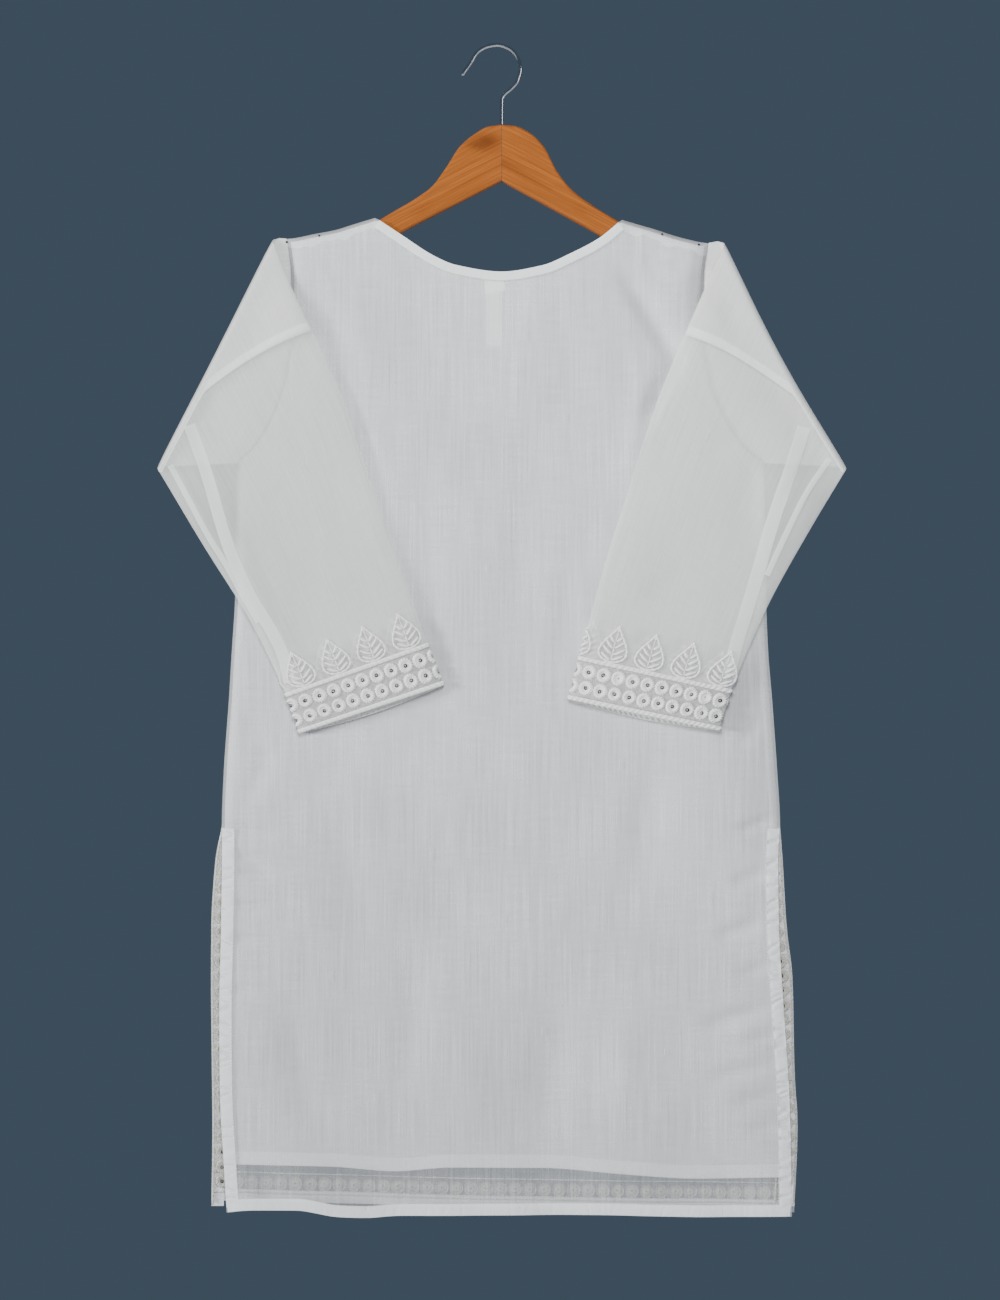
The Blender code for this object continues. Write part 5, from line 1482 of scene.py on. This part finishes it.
def build_arm(name, sign):
    """One arm of the hanger, with softly rounded edges and its grain along it."""
    reaches = np.concatenate([np.linspace(0.15, 160.0, 120), np.linspace(161.5, 169.5, 6)])
    keys = [s.reach for s in ARM_STATIONS]
    tops = monotone_curve(keys, [s.top_left if sign < 0 else s.top_right for s in ARM_STATIONS])
    bottoms = monotone_curve(keys, [s.bottom_left if sign < 0 else s.bottom_right
                                    for s in ARM_STATIONS])
    rows = []
    rounding = HANGER_EDGE_RADIUS
    for reach in reaches:
        half = HANGER_HALF_THICKNESS - TIP_THINNING * smooth((reach - TIP_START) / TIP_LENGTH)
        ring = []
        for corner_y, corner_z, start in ((-1, 1, 180), (1, 1, 90), (1, -1, 0), (-1, -1, -90)):
            for step in range(6):
                angle = math.radians(start - 18.0 * step)
                y = corner_y * (half - rounding) + math.cos(angle) * rounding
                edge = tops(reach) + rounding if corner_z > 0 else bottoms(reach) - rounding
                x = HANGER_CENTRE + sign * reach
                ring.append(np.array([x, y, -(edge - math.sin(angle) * rounding)]))
        front = [mix(ring[-1], ring[0], share) for share in np.arange(1, 12) / 12]
        back = [mix(ring[11], ring[12], share) for share in np.arange(1, 12) / 12]
        rows.append(ring[:12] + back + ring[12:] + front + [ring[0]])
    points = np.array(rows)
    x, z = points[..., 0] - HANGER_CENTRE, points[..., 2]
    along = x * sign - (z - MITRE_FOOT) * ARM_SLOPE
    aside = z - MITRE_FOOT + ARM_SLOPE * sign * x
    grain = np.stack([along, aside, points[..., 1]], -1)
    item = mesh_from(name, points.reshape(-1, 3), grid_faces(*points.shape[:2]))
    add_attribute(item.data, "grain", grain.reshape(-1, 3) * MM)
    add_attribute(item.data, "knot", dark_wood(x, z, sign).reshape(-1, 1))
    close_ends(item, points.shape)
    node = name.replace("_wood", "")
    finish_piece(item, wood_material(name + "_wood"), "hanger_wood", [node])


def close_ends(item, shape):
    """Weld the ring's seam and fill both ends."""
    build = bmesh.new()
    build.from_mesh(item.data)
    bmesh.ops.remove_doubles(build, verts=build.verts, dist=1e-6)
    bmesh.ops.holes_fill(build, edges=[edge for edge in build.edges if edge.is_boundary])
    bmesh.ops.recalc_face_normals(build, faces=build.faces)
    build.to_mesh(item.data)
    build.free()
    item.data.shade_smooth()
    item.data.set_sharp_from_angle(angle=math.radians(50.0))


def build_hook():
    """Chrome wire with a rounded tip."""
    path = route(HOOK_PATH)
    shares = np.linspace(0.0, 1.0, 150)
    spots = path(shares)
    across = square_to(np.gradient(spots, axis=0))
    inside = 1.0 - np.clip(shares * path.length / 1.6, 0, 1)
    radius = HOOK_WIRE_RADIUS * np.sqrt(np.clip(1.0 - inside ** 2, 0.01, 1.0))[:, None]
    angles = np.linspace(0.0, 2 * math.pi, 21)
    x = spots[:, :1] + across[:, :1] * radius * np.cos(angles)
    drop = spots[:, 1:] + across[:, 1:] * radius * np.cos(angles)
    y = radius * np.sin(angles)
    points = np.stack([x, y, -drop], -1)
    item = mesh_from("hook_wire", points.reshape(-1, 3), grid_faces(*points.shape[:2]))
    close_ends(item, points.shape)
    finish_piece(item, chrome_material(), "hook_chrome", ["hook"])


def build_stage():
    """Pale floor far below, plain soft lights and a camera square to the garment."""
    corners = [(-FLOOR_REACH, -FLOOR_REACH), (FLOOR_REACH, -FLOOR_REACH),
               (FLOOR_REACH, FLOOR_BACK), (-FLOOR_REACH, FLOOR_BACK)]
    floor = mesh_from("floor", [(x, y, -FLOOR_DROP) for x, y in corners], [(0, 1, 2, 3)])
    join_scene(floor)
    floor.data.materials.append(Shader("floor_paint", (0.6, 0.62, 0.65), 0.9).material)
    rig.stage(floor)
    world = bpy.data.worlds.new("studio")
    bpy.context.scene.world = world
    world.use_nodes = True
    background = world.node_tree.nodes["Background"]
    background.inputs["Color"].default_value = WALL_COLOUR
    background.inputs["Strength"].default_value = 1.0
    for lamp in LAMPS:
        light = bpy.data.lights.new(lamp.name, lamp.kind)
        light.energy = lamp.power
        if lamp.kind == "SUN":
            light.angle = lamp.size
        else:
            light.size = lamp.size
        item = bpy.data.objects.new(lamp.name, light)
        join_scene(item)
        item.location = lamp.place
        aim = LAMP_AIM - Vector(lamp.place)
        item.rotation_euler = aim.to_track_quat("-Z", "Y").to_euler()
        item.visible_glossy = lamp.name == "right"
    camera = bpy.data.cameras.new("camera")
    camera.lens = LENS
    camera.sensor_width = SENSOR
    item = bpy.data.objects.new("camera", camera)
    join_scene(item)
    x, z = VIEW_CENTRE
    item.location = (x, -VIEW_HEIGHT * LENS / SENSOR, z)
    item.rotation_euler = (math.pi / 2, 0.0, 0.0)
    bpy.context.scene.camera = item


def declare_sheets():
    """States the flat cut of each piece of cloth that shows."""
    for cut in SHEETS:
        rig.sheet(bpy.data.objects[cut.piece], flat=(cut.width, cut.length), held=cut.held,
                 rests_on=cut.rests_on, area=cut.area,
                 with_pieces=[bpy.data.objects[name] for name in cut.pieces])


def build_kurta():
    back = BodyPanel(-1, BACK_SLIT_SIDES, BACK_NECK, BACK_HEM, BACK_FOLDS, BACK_CREASES)
    front = BodyPanel(1, FRONT_SLIT_SIDES, FRONT_NECK, FRONT_HEM, FRONT_FOLDS, FRONT_CREASES)
    build_panels(back, front)
    build_lining(back)
    build_facing(back, "neck_facing_back")
    build_facing(front, "neck_facing_front")
    build_label(back)
    build_bands(back, front)
    build_stitching(back, front)
    build_border(front)
    sleeves = []
    for sleeve, creases, allowances in ((LEFT_SLEEVE, LEFT_FLAP_CREASES, LEFT_ALLOWANCES),
                                        (RIGHT_SLEEVE, RIGHT_FLAP_CREASES, RIGHT_ALLOWANCES)):
        folded = FoldedSleeve(sleeve, back, creases)
        sleeves.append((folded, sleeve.sign))
        for index, (half_width, line) in enumerate(allowances):
            build_ribbon("allowance_%d_%s" % (index, sleeve.name), folded.on_flap, line,
                         half_width, "sleeve_cloth")
        build_cuff_work(folded, sleeve.sign)
        build_sleeve(folded)
        build_lining_sleeve(folded)
        build_cuff(folded)
        build_piping(folded, "upper", 0.0)
        build_piping(folded, "lower", CUFF_HEIGHT)
    build_flecks(back, sleeves)
    build_arm("hanger_arm_left_wood", -1)
    build_arm("hanger_arm_right_wood", 1)
    build_hook()
    declare_sheets()


build_kurta()
build_stage()
with open(SIZE_FILE, "w") as size_file:
    json.dump({"cad": CAD_BOX, "visual": [list(corner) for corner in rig.bounds()]}, size_file)
